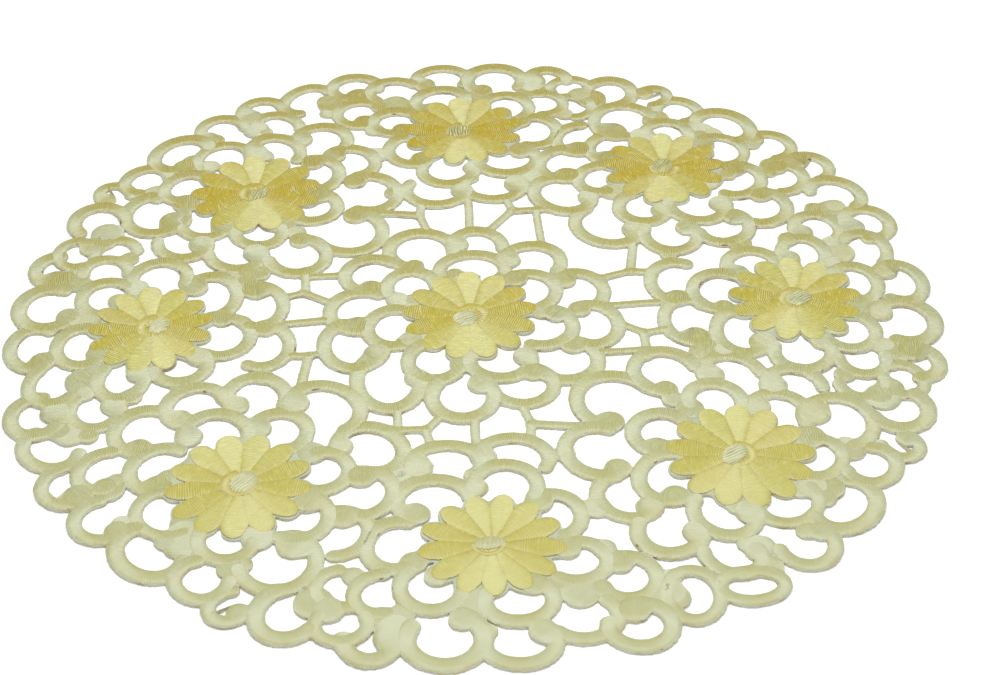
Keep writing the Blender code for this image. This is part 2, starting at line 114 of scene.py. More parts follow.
Scroll = namedtuple("Scroll", "x y rx ry start end width knob")
Pad = namedtuple("Pad", "x y radius")
Bar = namedtuple("Bar", "x1 y1 x2 y2 width")
Spoke = namedtuple("Spoke", "x y aim width")
Sector = namedtuple("Sector", "heading daisy_side turn border_turn net_side net_out")
Daisy = namedtuple("Daisy", "x y turn reach_east reach_north")
Eye = namedtuple("Eye", "x y half_long half_short turn stitch_way")
Ring = namedtuple("Ring", "x y start end width")
Stray = namedtuple("Stray", "x y way length")
Stroke = namedtuple("Stroke", "points radii")
Strip = namedtuple("Strip", "centres across left right")
Shape = namedtuple("Shape", "stroke strip")

# A scroll is a satin-stitched arc of an ellipse that ends in a round knob, drawn in at its end.
# x, y, rx, ry, start and end in degrees, width of the band, radius of the knob
DIAGONAL_BORDER = [
    Scroll(-62.5, 172.5, 11.5, 12.0, -25, 178, 6.8, 0.0),
    Scroll(-44.0, 184.0, 6.9, 7.8, -50, 180, 5.6, 4.6),
    Scroll(-27.0, 181.5, 10.6, 9.3, -35, 215, 6.0, 0.0),
    Scroll(-1.8, 184.5, 14.4, 11.6, -25, 205, 7.0, 0.0),
    Scroll(24.8, 185.3, 10.7, 10.4, -35, 178, 6.0, 4.8),
    Scroll(48.7, 182.3, 10.6, 10.0, -25, 170, 5.8, 6.2),
    Scroll(70.5, 173.0, 12.6, 9.8, -10, 215, 6.2, 0.0),
]
DIAGONAL_SECOND_ROW = [
    Scroll(-41.0, 157.0, 15.0, 14.5, 60, 275, 6.2, 7.2),
    Scroll(-18.5, 162.0, 11.0, 10.2, 0, 215, 6.0, 0.0),
    Scroll(8.5, 166.5, 12.6, 11.8, -45, 165, 5.4, 0.0),
    Scroll(44.5, 167.0, 10.0, 11.4, -50, 140, 6.0, 4.6),
]
DIAGONAL_WREATH = [
    Scroll(29.0, 152.5, 11.5, 12.6, -80, 135, 6.2, 5.8),
    Scroll(26.5, 125.5, 13.5, 12.6, -165, 45, 6.4, 5.6),
    Scroll(9.0, 107.5, 11.4, 11.6, -200, 25, 6.4, 5.6),
    Scroll(-20.0, 112.5, 10.4, 11.2, 125, 325, 6.2, 0.0),
    Scroll(-31.0, 136.0, 11.2, 12.0, 100, 290, 6.2, 5.8),
    Scroll(50.0, 142.0, 12.4, 12.4, -65, 125, 6.4, 5.6),
    Scroll(46.0, 119.0, 11.2, 12.2, -120, 95, 6.2, 5.6),
    Scroll(-48.0, 132.0, 11.2, 12.0, 130, 305, 6.0, 6.0),
]
# The arcs between a diagonal daisy and the middle: even on two sides, drawn deeper on the others.
EVEN_ARCS = [
    Scroll(31.0, 98.5, 12.4, 11.6, -160, 75, 6.4, 5.4),
    Scroll(5.0, 86.5, 15.6, 13.8, 168, 385, 6.4, 6.0),
    Scroll(-25.5, 91.0, 14.0, 12.2, 150, 395, 6.4, 5.0),
    Scroll(-40.0, 111.0, 12.2, 12.5, 140, 315, 6.2, 6.0),
]
DEEP_ARCS = [
    Scroll(33.5, 95.0, 13.2, 14.2, -160, 75, 6.4, 5.4),
    Scroll(6.0, 82.0, 15.2, 16.8, 165, 385, 6.4, 6.0),
    Scroll(-21.5, 86.5, 12.6, 13.7, 150, 395, 6.4, 5.0),
    Scroll(-38.0, 108.5, 11.2, 12.8, 140, 315, 6.2, 6.0),
]
# A pad is a round stitched patch that fills the corner between scrolls: x, y, radius.
DIAGONAL_PADS = [
    Pad(-66.0, 163.0, 7.4), Pad(-31.0, 170.5, 5.6), Pad(-8.0, 175.5, 6.0), Pad(-4.0, 169.5, 6.4),
    Pad(35.0, 173.0, 5.8), Pad(76.0, 164.5, 5.0), Pad(-27.0, 153.5, 6.4), Pad(-37.0, 146.0, 5.0),
    Pad(58.5, 113.5, 5.5), Pad(-9.5, 107.5, 6.0), Pad(-45.0, 94.5, 4.2), Pad(-33.0, 166.5, 3.6),
    Pad(0.5, 167.0, 4.5), Pad(-2.0, 177.0, 4.5), Pad(17.5, 181.5, 4.0), Pad(37.5, 168.0, 3.5),
    Pad(23.5, 153.5, 4.0), Pad(20.5, 142.0, 5.0),
]
DEEP_PADS = [Pad(-41.5, 89.5, 5.0), Pad(-48.5, 97.0, 4.6), Pad(-9.5, 98.5, 4.5)]

AXIS_BORDER = [
    Scroll(-48.5, 181.5, 11.4, 10.2, -10, 280, 6.4, 6.0),
    Scroll(-29.0, 176.0, 12.4, 10.2, 40, 225, 6.0, 0.0),
    Scroll(-5.0, 186.0, 13.0, 10.2, -35, 212, 6.2, 5.6),
    Scroll(21.5, 182.5, 13.6, 12.4, -30, 235, 7.0, 5.2),
    Scroll(48.2, 180.8, 9.6, 9.6, -5, 180, 6.8, 6.0),
    Scroll(58.5, 173.0, 9.4, 8.2, -30, 200, 5.4, 0.0),
]
AXIS_SECOND_ROW = [
    Scroll(-46.5, 158.0, 11.0, 10.4, 50, 285, 6.0, 5.6),
    Scroll(-6.0, 166.0, 12.4, 10.6, -20, 235, 6.2, 5.2),
    Scroll(25.5, 157.5, 11.6, 11.2, -45, 155, 6.0, 0.0),
    Scroll(-29.0, 148.7, 11.4, 9.8, 50, 290, 6.2, 5.4),
    Scroll(43.5, 159.5, 10.4, 9.8, -95, 95, 5.6, 0.0),
    Scroll(57.0, 155.5, 10.8, 9.6, -80, 100, 5.6, 0.0),
]
AXIS_WREATH = [
    Scroll(37.0, 135.5, 12.0, 12.2, -110, 100, 6.2, 0.0),
    Scroll(22.5, 112.8, 14.0, 11.4, -175, 50, 6.4, 5.8),
    Scroll(-5.5, 107.5, 12.4, 12.0, 150, 360, 6.2, 4.4),
    Scroll(-22.0, 124.5, 11.2, 11.4, 110, 300, 6.2, 5.6),
]
# The rim of the nearest sector runs on to the right, in two closed rings and a pad of its own. They
# take the place of the last two scrolls of the diagonal border there.
NEAREST = 270
NEAR_RIGHT = 315
RIGHT_BORDER = [
    Scroll(-69.3, 168.9, 9.8, 11.9, -15, 335, 5.4, 0.0),
    Scroll(-91.5, 165.9, 12.0, 7.3, -15, 335, 5.4, 0.0),
]
RIGHT_PADS = [Pad(-99.5, 157.5, 5.4)]

AXIS_PADS = [
    Pad(-60.5, 167.0, 6.4), Pad(-62.0, 160.0, 4.2), Pad(-28.5, 164.3, 7.4), Pad(-36.5, 163.0, 4.2),
    Pad(10.5, 166.0, 6.6), Pad(40.0, 176.5, 6.4), Pad(36.5, 169.5, 5.0), Pad(44.0, 170.5, 4.4),
    Pad(63.0, 166.0, 6.0), Pad(67.0, 161.0, 5.6), Pad(23.5, 152.5, 4.6), Pad(31.5, 145.0, 5.4),
    Pad(53.5, 149.5, 4.4), Pad(-40.0, 143.5, 4.6), Pad(-21.0, 160.0, 4.0),
]
# The net between an axis daisy and the middle. A spoke runs on inward until it meets the ring.
NET_ARCS = [
    Scroll(-9.5, 92.0, 14.0, 11.8, 150, 350, 6.0, 5.4),
    Scroll(17.0, 93.5, 14.0, 11.0, 160, 365, 6.0, 6.0),
]
NET_PADS = [Pad(-30.0, 91.0, 4.2), Pad(34.5, 98.5, 4.2), Pad(7.0, 100.0, 3.4)]
NET_BARS = [
    Bar(-46.0, 77.0, -18.5, 72.5, 4.2),
    Bar(-17.5, 80.5, -18.5, 72.5, 3.8),
    Bar(22.0, 82.0, 23.8, 73.5, 3.6),
    Bar(23.8, 72.6, 40.0, 72.2, 3.8),
]
NET_SPOKES = [
    Spoke(-18.5, 72.5, -75, 3.6),
    Spoke(4.0, 81.5, -90, 3.8),
    Spoke(23.8, 73.5, -127, 3.6),
    Spoke(35.0, 72.2, -90, 3.6),
]
SPOKE_SHORTEST = 6.0
SPOKE_LONGEST = 30.0
SPOKE_STEP = 0.5
SEWN_IN = 0.5

MIDDLE_WREATH = [
    Scroll(1.0, 29.0, 14.4, 11.4, -10, 195, 6.2, 0.0),
    Scroll(24.0, 12.5, 12.5, 12.4, -60, 115, 6.2, 5.4),
    Scroll(28.0, -12.3, 13.4, 12.6, -115, 50, 6.4, 5.4),
    Scroll(9.0, -32.5, 12.8, 11.6, -205, 10, 6.4, 5.4),
    Scroll(-18.0, -31.0, 11.6, 12.0, 120, 315, 6.4, 0.0),
    Scroll(-34.0, -8.0, 11.8, 12.2, 80, 285, 6.4, 4.0),
    Scroll(-26.0, 18.5, 10.8, 11.6, 5, 195, 6.4, 0.0),
]
MIDDLE_RING = [
    Scroll(-21.0, 45.0, 14.4, 13.2, -10, 255, 6.4, 4.6),
    Scroll(4.0, 46.0, 11.4, 11.4, -10, 165, 6.2, 5.4),
    Scroll(27.5, 32.5, 13.2, 12.2, -35, 165, 6.2, 5.6),
    Scroll(45.5, 10.5, 11.5, 12.6, -35, 125, 6.2, 5.6),
    Scroll(49.0, -12.5, 12.0, 13.4, -115, 110, 6.2, 5.0),
    Scroll(36.5, -35.0, 13.2, 12.6, -135, 70, 6.4, 5.6),
    Scroll(17.0, -49.0, 13.0, 11.6, -155, 60, 6.0, 5.4),
    Scroll(-8.0, -54.0, 12.6, 13.2, 140, 400, 6.4, 5.6),
    Scroll(-37.5, -41.0, 13.4, 18.4, 120, 360, 6.6, 5.2),
    Scroll(-51.5, -18.0, 12.8, 14.8, 110, 330, 6.4, 5.6),
    Scroll(-48.5, 4.0, 13.4, 13.2, 55, 262, 6.2, 6.2),
    Scroll(-43.0, 29.0, 12.0, 11.6, 45, 265, 6.2, 5.4),
]
MIDDLE_PADS = [
    Pad(-7.0, -34.0, 5.2), Pad(-32.5, 10.5, 5.2), Pad(-28.0, -17.0, 5.2), Pad(14.5, 22.0, 5.0),
    Pad(29.0, -2.0, 5.0), Pad(-21.5, -16.0, 3.5), Pad(-26.0, 9.5, 4.0), Pad(-6.8, 26.4, 3.9),
]
MIDDLE_DAISY = (0.0, -2.0, 90.0)

# Where each daisy's surroundings lie and how far they were sewn off the even repeat:
# heading, daisy sideways, turn of its scrolls, further turn of its border, net sideways, net out
SECTORS = [
    Sector(0, 2.4, 0.0, 0.0, -4.0, -2.0),
    Sector(45, -1.3, 0.0, 0.0, 0.0, 0.0),
    Sector(90, 2.4, 0.0, 0.0, -2.0, -1.0),
    Sector(135, -1.3, 0.0, 0.0, 0.0, 0.0),
    Sector(180, 2.4, 1.4, 0.0, -3.5, -1.0),
    Sector(225, -1.3, 0.0, 0.0, 0.0, 0.0),
    Sector(270, 2.4, 0.0, 0.0, 0.0, 0.0),
    Sector(315, -1.3, 0.2, 0.6, 0.0, 0.0),
]
DEEP_HEADINGS = (135, 315)

# Where each daisy was sewn: how far off its charted middle, in the mat's plane, how far turned, and
# how far its petals reach east and north, all in steps of a half. The first row is the middle
# daisy's and the others follow the sectors, in this table and the next two. The rows for headings
# 0, 45 and 90 are made up in the same range.
DAISIES = [
    Daisy(-2.0, -0.5, -2.0, 29.0, 29.5), Daisy(0.5, -0.5, 1.0, 28.5, 28.5),
    Daisy(-1.0, 0.5, -1.5, 28.5, 28.5), Daisy(0.5, 0.5, 1.0, 29.0, 28.5),
    Daisy(3.0, -2.5, 0.0, 30.0, 30.0), Daisy(0.5, -3.5, -3.0, 26.5, 28.5),
    Daisy(-0.5, -0.5, 1.0, 28.5, 28.5), Daisy(0.5, 0.0, -1.0, 28.0, 26.0),
    Daisy(0.0, -1.0, 3.0, 29.5, 29.0),
]
# The oval pad in each daisy: x and y off the charted middle, half its length, half its width and
# the directions of its length and of its stitches.
EYES = [
    Eye(-3.7, -3.4, 5.3, 4.5, -35, 22), Eye(1.6, -1.0, 5.8, 4.8, 20, 30),
    Eye(-1.5, 1.2, 5.8, 5.0, 40, 60), Eye(-1.0, -1.5, 6.0, 4.6, 5, 90),
    Eye(4.1, -4.0, 5.7, 3.4, 32, 70), Eye(4.2, -2.8, 5.2, 4.0, 70, 40),
    Eye(1.4, 0.4, 5.9, 5.0, 60, 48), Eye(-0.4, 0.0, 6.0, 2.9, 4, 88),
    Eye(-2.4, -1.1, 6.1, 4.4, 48, 25),
]
# The gold cord that runs part of the way round each oval pad: its middle off the charted one, the
# angles between which it shows, and its width.
RINGS = [
    Ring(-1.4, -1.0, -70, 130, 2.9), Ring(0.5, -0.5, 60, 260, 2.9), Ring(-0.5, 0.5, 150, 340, 2.9),
    Ring(0.0, -0.5, 100, 300, 2.9), Ring(2.2, -2.2, 50, 260, 2.7), Ring(1.6, -2.0, 95, 290, 3.2),
    Ring(-0.7, 0.0, 105, 345, 2.9), Ring(-0.6, 0.1, 190, 350, 1.6), Ring(-0.6, -0.7, -85, 95, 2.7),
]
# A few loose thread ends lie on the petals: where they start, their direction and their length.
# The places of the first eleven, and all their lengths but the third's, were worked out from end
# points read off the photograph. The last two are made up.
STRAYS = [
    Stray(-150.8, -5.8, -80, 5.7), Stray(-148.8, -11.1, -60, 4.6), Stray(-155.5, 1.8, -85, 5.0),
    Stray(-112.6, 86.3, -95, 5.9), Stray(-111.2, 87.0, -76, 4.7), Stray(-109.7, 78.8, -55, 4.5),
    Stray(-78.5, 97.2, -76, 6.9), Stray(-69.6, 98.0, -78, 4.9), Stray(-79.9, 83.3, 38, 6.5),
    Stray(4.2, 23.9, -128, 8.5), Stray(-22.8, 4.7, -102, 5.9), Stray(116.0, 10.0, -50, 7.0),
    Stray(80.0, 112.0, -20, 8.0),
]
STRAY_WIDTH = 0.3
STRAY_BEND = 30.0
RING_RADIUS = 5.6
EYE_DISCS = 9

# how the pads' stitches turn, in degrees, and where a stitch count starts, in millimetres
PAD_WAY = 35.0
PAD_TURN = 47.0
FRESH_START = 7.3
RIDGE_PITCH = 1.6
SHARP_ANGLE = 55.0

# Finishes: wall and crown in millimetres, how far the crown takes to rise, ridges, raggedness of
# the edge, look of the thread
Finish = namedtuple("Finish", "wall crown rounding ridge ragged look")
FINISHES = {
    "net_bars": Finish(WALL, 0.75, 1.3, 0.0, 0.16, "pale_rayon_satin"),
    "stitched_pads": Finish(WALL, 0.7, 1.6, 0.0, 0.2, "pale_rayon_fill"),
    "rim_scrolls": Finish(WALL, 0.9, 1.7, 0.0, 0.2, "pale_rayon_satin"),
    "second_row_scrolls": Finish(WALL, 0.82, 1.7, 0.0, 0.2, "pale_rayon_satin"),
    "wreath_scrolls": Finish(WALL, 0.82, 1.7, 0.0, 0.2, "pale_rayon_satin"),
    "ring_scrolls": Finish(WALL, 0.82, 1.7, 0.0, 0.2, "pale_rayon_satin"),
    "daisy_petals": Finish(1.25, 0.5, 1.8, 0.0, 0.16, "gold_rayon_satin"),
    "gold_rings": Finish(1.55, 0.35, 0.9, 0.25, 0.2, "gold_rayon_cord"),
    "daisy_eyes": Finish(1.45, 0.8, 2.6, 0.4, 0.2, "white_rayon_loops"),
    "stray_threads": Finish(1.75, 0.15, 0.15, 0.0, 0.0, "bleached_thread_ends"),
}

# Thread finishes: colour where the thread runs north, the same on the far side, colour where it
# runs east, drawn paler by a painted sheen; colour near an edge, a painted highlight on the pale
# threads and a darker seam on the others; that colour's share, how far the ticks tear its border
# and which edge it follows; the ticks' pitch, drift, tone and depth; the strands' tone and the
# share of painted glints, which also sets the near side's bleach. The real ticks lie 0.6 to 1 mm
# apart.
Look = namedtuple("Look", "north far east rim rim_share rim_teeth rim_from "
                          "tick_pitch tick_drift tick_tone tick_depth strand_tone hair_share")
LOOKS = {
    "pale_rayon_satin": Look("#AAA65E", "#A99A46", "#B6BA92", "#CBCFB4", 0.55, 0.6, "rim_mm",
                             0.9, 0.9, 0.12, 0.07, 0.4, 0.3),
    "pale_rayon_fill": Look("#AEAC70", "#ADA152", "#B6BA94", "#C6CAB0", 0.5, 0.4, "rim_mm",
                            1.1, 1.5, 0.09, 0.06, 0.4, 0.3),
    "gold_rayon_satin": Look("#B3A32C", "#B29A10", "#BEBA62", "#A58930", 0.14, 0.2, "seam_mm",
                             0.95, 0.8, 0.12, 0.06, 0.4, 0.5),
    "gold_rayon_cord": Look("#B8A842", "#B5A136", "#C1BA6A", "#AB9A4C", 0.2, 0.2, "seam_mm",
                            1.2, 0.5, 0.16, 0.1, 0.4, 0.2),
    "white_rayon_loops": Look("#B2B07A", "#A8A25A", "#BABB8E", "#B5AC62", 0.3, 0.3, "seam_mm",
                              1.3, 2.5, 0.2, 0.12, 0.7, 0.6),
    "bleached_thread_ends": Look("#C9CAA6", "#C9CAA0", "#CDCEAC", "#C9CAA6", 0.0, 0.0, "seam_mm",
                                 1.0, 0.5, 0.0, 0.0, 0.1, 0.0),
}
# What the cutting heat left: brown specks on the very edge and a soft yellow tint beside it.
SCORCH = "#7C5C30"
TOASTED = "#AC9C46"
TOAST = 0.4
GROUND_DEEP = "#A3A990"
GROUND_PALE = "#BCC1A4"
CUT_EDGE = "#BDB588"
CUT_EDGE_PALE = "#C6C8B4"
# How much paler thread that runs north is drawn towards the near side of the mat, per metre.
NEAR_PALING = -2.0
# The near side is worn smooth and bleached: how much of the thread's relief is left there, the
# places in metres between which the relief comes back, and how much of the glints' pale tone it takes
# on.
WORN = 0.15
WORN_FROM, WORN_TO = -0.19, -0.03
BLEACH = 0.17
# The thread is drawn deeper towards the far side, from and to these places in metres.
FAR_FROM, FAR_TO = -0.03, 0.13
FAR_SHARE = 0.7
# Rayon shines more than one layer of any plastic, so its index is raised to make up for many.
THREAD_IOR = 1.7
THREAD_GLOSS = 1.0
THREAD_ROUGHNESS = 0.6
THREAD_GLIDE = 0.95
# Rayon filaments are about 0.12 mm wide; threads of them are drawn 0.4 mm wide and strands 1 mm
# wide, so that they show at this distance.
THREAD = (1 / 0.4, 1 / 5.0, 1.0)
STRAND = (1 / 1.0, 1 / 7.0, 1.0)
# Painted glints: short pale streaks that stand in for light caught by the thread, fewer of them where
# it runs east.
GLINT_STREAKS = (1 / 0.5, 1 / 5.0, 1.0)
GLINT_AND_BLEACH_TONE = "#DEDDAE"
FEWER_GLINTS_EAST = 0.15
# The ground's weave is about 0.4 mm; drawn at 0.9 mm so that it shows.
GROUND_WEAVE = 0.9

# the photograph's view
CAMERA_LENS = 68.10
CAMERA_SENSOR = 36.0
CAMERA_PLACE = (-0.0313, -0.6305, 0.5165)
CAMERA_TARGET = (0.0098, -0.0179, 0.0006)
CAMERA_ROLL = -0.5

FLOOR_SIZE = 6.0
FLOOR_TOP = -0.0001
FILL_STRENGTH = 0.38
# name, place, size in metres and power in watts of each lamp
LAMPS = [
    ("overhead_softbox", (0.0, 0.05, 0.8), 0.7, 6.4),
    ("front_softbox", (0.1, -1.3, 1.1), 0.8, 5.5),
]
# Cell corners inside the cloth (1 lower left, 2 lower right, 4 upper right, 8 upper left) and the
# cell sides (0 lower, 1 right, 2 upper, 3 left) that the cloth's edge enters and leaves by, with
# the cloth on its left.
EDGE_WALKS = {
    1: [(0, 3)], 2: [(1, 0)], 3: [(1, 3)], 4: [(2, 1)], 5: [(2, 3), (0, 1)], 6: [(2, 0)],
    7: [(2, 3)], 8: [(3, 2)], 9: [(0, 2)], 10: [(3, 0), (1, 2)], 11: [(1, 2)], 12: [(3, 1)],
    13: [(0, 1)], 14: [(3, 0)],
}


def direction(degrees):
    return np.array([math.cos(math.radians(degrees)), math.sin(math.radians(degrees))])


def placed(points, heading, side=0.0, out=0.0):
    """Charted points shifted sideways and outward, then turned from the rim at the top to heading."""
    across = direction(heading - 90)
    outward = direction(heading)
    shifted = points + np.array([side, out])
    return shifted[:, :1] * across + shifted[:, 1:] * outward


def placed_shape(shape, heading, side=0.0, out=0.0):
    stroke, strip = shape
    stroke = Stroke(placed(stroke.points, heading, side, out), stroke.radii)
    strip = strip._replace(centres=placed(strip.centres, heading, side, out),
                           across=placed(strip.across, heading))
    return Shape(stroke, strip)


def facing_up(centres, across, left, right):
    """A strip whose travel and across direction turn anticlockwise, so that its top faces up."""
    travel = np.gradient(centres, axis=0)
    turn = travel[:, 0] * across[:, 1] - travel[:, 1] * across[:, 0]
    if np.sum(turn) < 0:
        return Strip(centres, -across, right, left)
    return Strip(centres, across, left, right)


def chord(points, across, centre, radius):
    """How far a disc reaches from each point along across, and whether the line crosses it."""
    off = centre - points
    along = np.sum(off * across, axis=1)
    square = radius ** 2 - np.sum(off ** 2, axis=1) + along ** 2
    return along + np.sqrt(np.maximum(square, 0.0)), square > 0


def cap_shares(steps=CAP_STATIONS):
    """Cosine and sine of the angles that round off a strip's end, from its tip inward."""
    angles = np.radians(np.linspace(FIRST_CAP_ANGLE, 90.0, steps, endpoint=False))
    return np.cos(angles), np.sin(angles)


def scroll_shape(row):
    """A satin-stitched arc with a round start. It ends round too, or in a knob drawn inward."""
    sweep = math.radians(row.end - row.start)
    count = int(abs(sweep) * max(row.rx, row.ry) / STATION) + 2
    angles = np.linspace(math.radians(row.start), math.radians(row.end), count)
    centre = np.array([row.x, row.y])
    arc = centre + np.stack([row.rx * np.cos(angles), row.ry * np.sin(angles)], axis=1)
    normal = np.stack([row.ry * np.cos(angles), row.rx * np.sin(angles)], axis=1)
    normal /= np.linalg.norm(normal, axis=1)[:, None]
    half = row.width / 2
    sense = math.copysign(1.0, sweep)
    first_way = sense * np.array([-normal[0, 1], normal[0, 0]])
    last_way = sense * np.array([-normal[-1, 1], normal[-1, 0]])
    along, aside = cap_shares()
    head = arc[0] - first_way * half * along[:, None]
    head_half = half * aside
    inner = np.full(count, half)
    outer = np.full(count, half)
    points = arc
    radii = np.full(count, half)
    if row.knob:
        outward = (arc[-1] - centre) / np.linalg.norm(arc[-1] - centre)
        knob_centre = arc[-1] + outward * (half - row.knob)
        points = np.vstack([points, knob_centre])
        radii = np.append(radii, row.knob)
        reach, crosses = chord(arc, -normal, knob_centre, row.knob)
        near = crosses & (np.linalg.norm(arc - knob_centre, axis=1) < row.knob + row.width)
        inner = np.where(near, np.maximum(inner, reach), inner)
        steps = int(row.knob / STATION)
        along, aside = cap_shares(steps)
        start = np.sum((knob_centre - arc[-1]) * last_way)
        tail = arc[-1] + last_way * (start + row.knob * along[::-1])[:, None]
        tail_across = np.repeat(normal[-1:], steps, axis=0)
        tail_inner = chord(tail, -tail_across, knob_centre, row.knob)[0]
        tail_outer = chord(tail, tail_across, knob_centre, row.knob)[0]
    else:
        tail = arc[-1] + last_way * half * along[::-1, None]
        tail_across = np.repeat(normal[-1:], len(along), axis=0)
        tail_inner = tail_outer = half * aside[::-1]
    centres = np.vstack([head, arc, tail])
    across = np.vstack([np.repeat(normal[:1], len(head), axis=0), normal, tail_across])
    left = np.concatenate([head_half, inner, tail_inner])
    right = np.concatenate([head_half, outer, tail_outer])
    return Shape(Stroke(points, radii), facing_up(centres, across, left, right))


def straight_shape(start, aim, reach, half_width, stroke, step=STATION):
    """A straight strip along aim: half_width gives its half width at each distance from start."""
    along = np.linspace(reach[0], reach[1], int((reach[1] - reach[0]) / step) + 2)
    centres = start + along[:, None] * aim
    across = np.repeat(np.array([[-aim[1], aim[0]]]), len(along), axis=0)
    half = half_width(along)
    return Shape(stroke, Strip(centres, across, half, half))


def envelope(stroke, start, aim):
    """Half width of the outline of the discs of a straight stroke, at each distance along it."""
    along = (stroke.points - start) @ aim

    def half_width(reach):
        squares = stroke.radii ** 2 - (reach[:, None] - along) ** 2
        return np.sqrt(np.maximum(squares.max(axis=1), 0.01))
    return half_width


def pad_shape(row, way):
    """A round stitched patch. Its stitches lie across way."""
    centre = np.array([row.x, row.y])
    stroke = Stroke(centre[None], np.array([row.radius]))
    aim = direction(way)
    ends = row.radius * math.cos(math.radians(FIRST_CAP_ANGLE))
    return straight_shape(centre, aim, (-ends, ends), envelope(stroke, centre, aim), stroke)


def bar_shape(row):
    length = math.hypot(row.x2 - row.x1, row.y2 - row.y1)
    start = np.array([row.x1, row.y1])
    aim = (np.array([row.x2, row.y2]) - start) / length
    points = start + np.linspace(0, length, int(length / STITCH_STEP) + 2)[:, None] * aim
    stroke = Stroke(points, np.full(len(points), row.width / 2))
    ends = row.width / 2 * math.cos(math.radians(FIRST_CAP_ANGLE))
    return straight_shape(start, aim, (-ends, length + ends), envelope(stroke, start, aim), stroke)


def inside_any(strokes, point, margin):
    return any(np.any(np.hypot(*(stroke.points - point).T) < stroke.radii - margin)
               for stroke in strokes)


def spoke_shape(row, ring, heading, side, out):
    """A thin bar that runs from the net along its aim until it is sewn into the ring."""
    start = np.array([row.x, row.y])
    for length in np.arange(SPOKE_SHORTEST, SPOKE_LONGEST, SPOKE_STEP):
        end = start + direction(row.aim) * length
        if inside_any(ring, placed(end[None], heading, side, out)[0], SEWN_IN):
            break
    return bar_shape(Bar(*start, *end, row.width))


def pad_shapes(rows):
    """Pads whose stitches turn from one to the next, as they do on the mat."""
    return [pad_shape(row, PAD_WAY + PAD_TURN * i) for i, row in enumerate(rows)]


def sector_shapes(sector, ring):
    """Lists of the shapes round one daisy, in the mat's plane, by the piece that they go to."""
    if sector.heading % 90:
        deep = sector.heading in DEEP_HEADINGS
        found = {
            "rim_scrolls": DIAGONAL_BORDER,
            "second_row_scrolls": DIAGONAL_SECOND_ROW,
            "wreath_scrolls": DIAGONAL_WREATH + (DEEP_ARCS if deep else EVEN_ARCS),
        }
        pads = DIAGONAL_PADS + (DEEP_PADS if deep else [])
        if sector.heading == NEAR_RIGHT:
            found["rim_scrolls"] = DIAGONAL_BORDER[:-2]
        net = {}
    else:
        found = {
            "rim_scrolls": AXIS_BORDER,
            "second_row_scrolls": AXIS_SECOND_ROW,
            "wreath_scrolls": AXIS_WREATH,
        }
        pads = AXIS_PADS
        if sector.heading == NEAREST:
            found["rim_scrolls"] = AXIS_BORDER + RIGHT_BORDER
            pads = AXIS_PADS + RIGHT_PADS
        lean = (sector.heading + sector.turn, sector.net_side, sector.net_out)
        bars = [bar_shape(row) for row in NET_BARS]
        bars += [spoke_shape(row, ring, *lean) for row in NET_SPOKES]
        net = {
            "net_bars": bars,
            "ring_scrolls": [scroll_shape(row) for row in NET_ARCS],
            "stitched_pads": pad_shapes(NET_PADS),
        }
        net = {name: [placed_shape(shape, *lean) for shape in row] for name, row in net.items()}
    heading = sector.heading + sector.turn
    turns = {"rim_scrolls": heading + sector.border_turn}
    shapes = {name: [placed_shape(scroll_shape(row), turns.get(name, heading)) for row in rows]
              for name, rows in found.items()}
    shapes["stitched_pads"] = [placed_shape(shape, heading) for shape in pad_shapes(pads)]
    for name, row in net.items():
        shapes[name] = shapes.get(name, []) + row
    return shapes


def daisies():
    """x, y and the direction of the first petal of each daisy as charted."""
    found = [MIDDLE_DAISY]
    for sector in SECTORS:
        x, y = placed(np.array([[sector.daisy_side, DAISY_RING]]), sector.heading)[0]
        first_petal = sector.heading + (180.0 / PETALS if sector.heading % 90 else 0.0)
        found.append((x, y, first_petal))
    return found


def longest(sewn, east, north):
    """A length that is east's across the mat and north's up it, in the direction of sewn."""
    return math.hypot(east * sewn[0], north * sewn[1])


def petal_ground(centre, angle, daisy):
    """The cut outline of one petal: as in the solid, but keeping just clear of the satin."""
    aim = direction(angle)
    half_angle = math.atan(PETAL_SPREAD * math.tan(math.pi / PETALS))
    length = longest(aim, daisy.reach_east, daisy.reach_north) + PETAL_MARGIN
    reach = np.arange(PETAL_ROOT, length - PETAL_TIP_RADIUS, STITCH_STEP)
    radii = np.minimum(reach * math.sin(half_angle), PETAL_TIP_RADIUS)
    return Shape(Stroke(centre + reach[:, None] * aim, radii), None)


def petal_shape(centre, angle, daisy):
    """A padded petal, stitched straight across: a wedge with an oval tip, inside its cut outline."""
    aim = direction(angle)
    spread = SATIN_SPREAD * math.tan(math.pi / PETALS)
    tip = longest(aim, SATIN_TIP_EAST, SATIN_TIP_NORTH)
    widest_at = longest(aim, daisy.reach_east, daisy.reach_north) - tip
    widest = widest_at * spread
    reach = np.arange(SATIN_ROOT, widest_at, STITCH_STEP)
    focus = (tip ** 2 - widest ** 2) / tip
    beyond = np.linspace(0, focus, EYE_DISCS)
    places = np.concatenate([reach, widest_at + beyond])
    radii = np.concatenate([reach * math.sin(math.atan(spread)),
                            widest * np.sqrt(1 - beyond ** 2 / (focus * tip))])

    def half_width(along):
        share = np.clip((along - widest_at) / tip, 0, 1)
        return np.minimum(along * spread, widest) * np.sqrt(1 - share ** 2)
    end = widest_at + tip * math.cos(math.radians(FIRST_CAP_ANGLE))
    stroke = Stroke(centre + places[:, None] * aim, radii)
    return straight_shape(centre, aim, (SATIN_ROOT, end), half_width, stroke)


def each_petal(maker):
    found = []
    for (x, y, first_petal), daisy in zip(daisies(), DAISIES):
        centre = np.array([x + daisy.x, y + daisy.y])
        first = first_petal + daisy.turn
        found += [maker(centre, first + 360.0 * i / PETALS, daisy) for i in range(PETALS)]
    return found


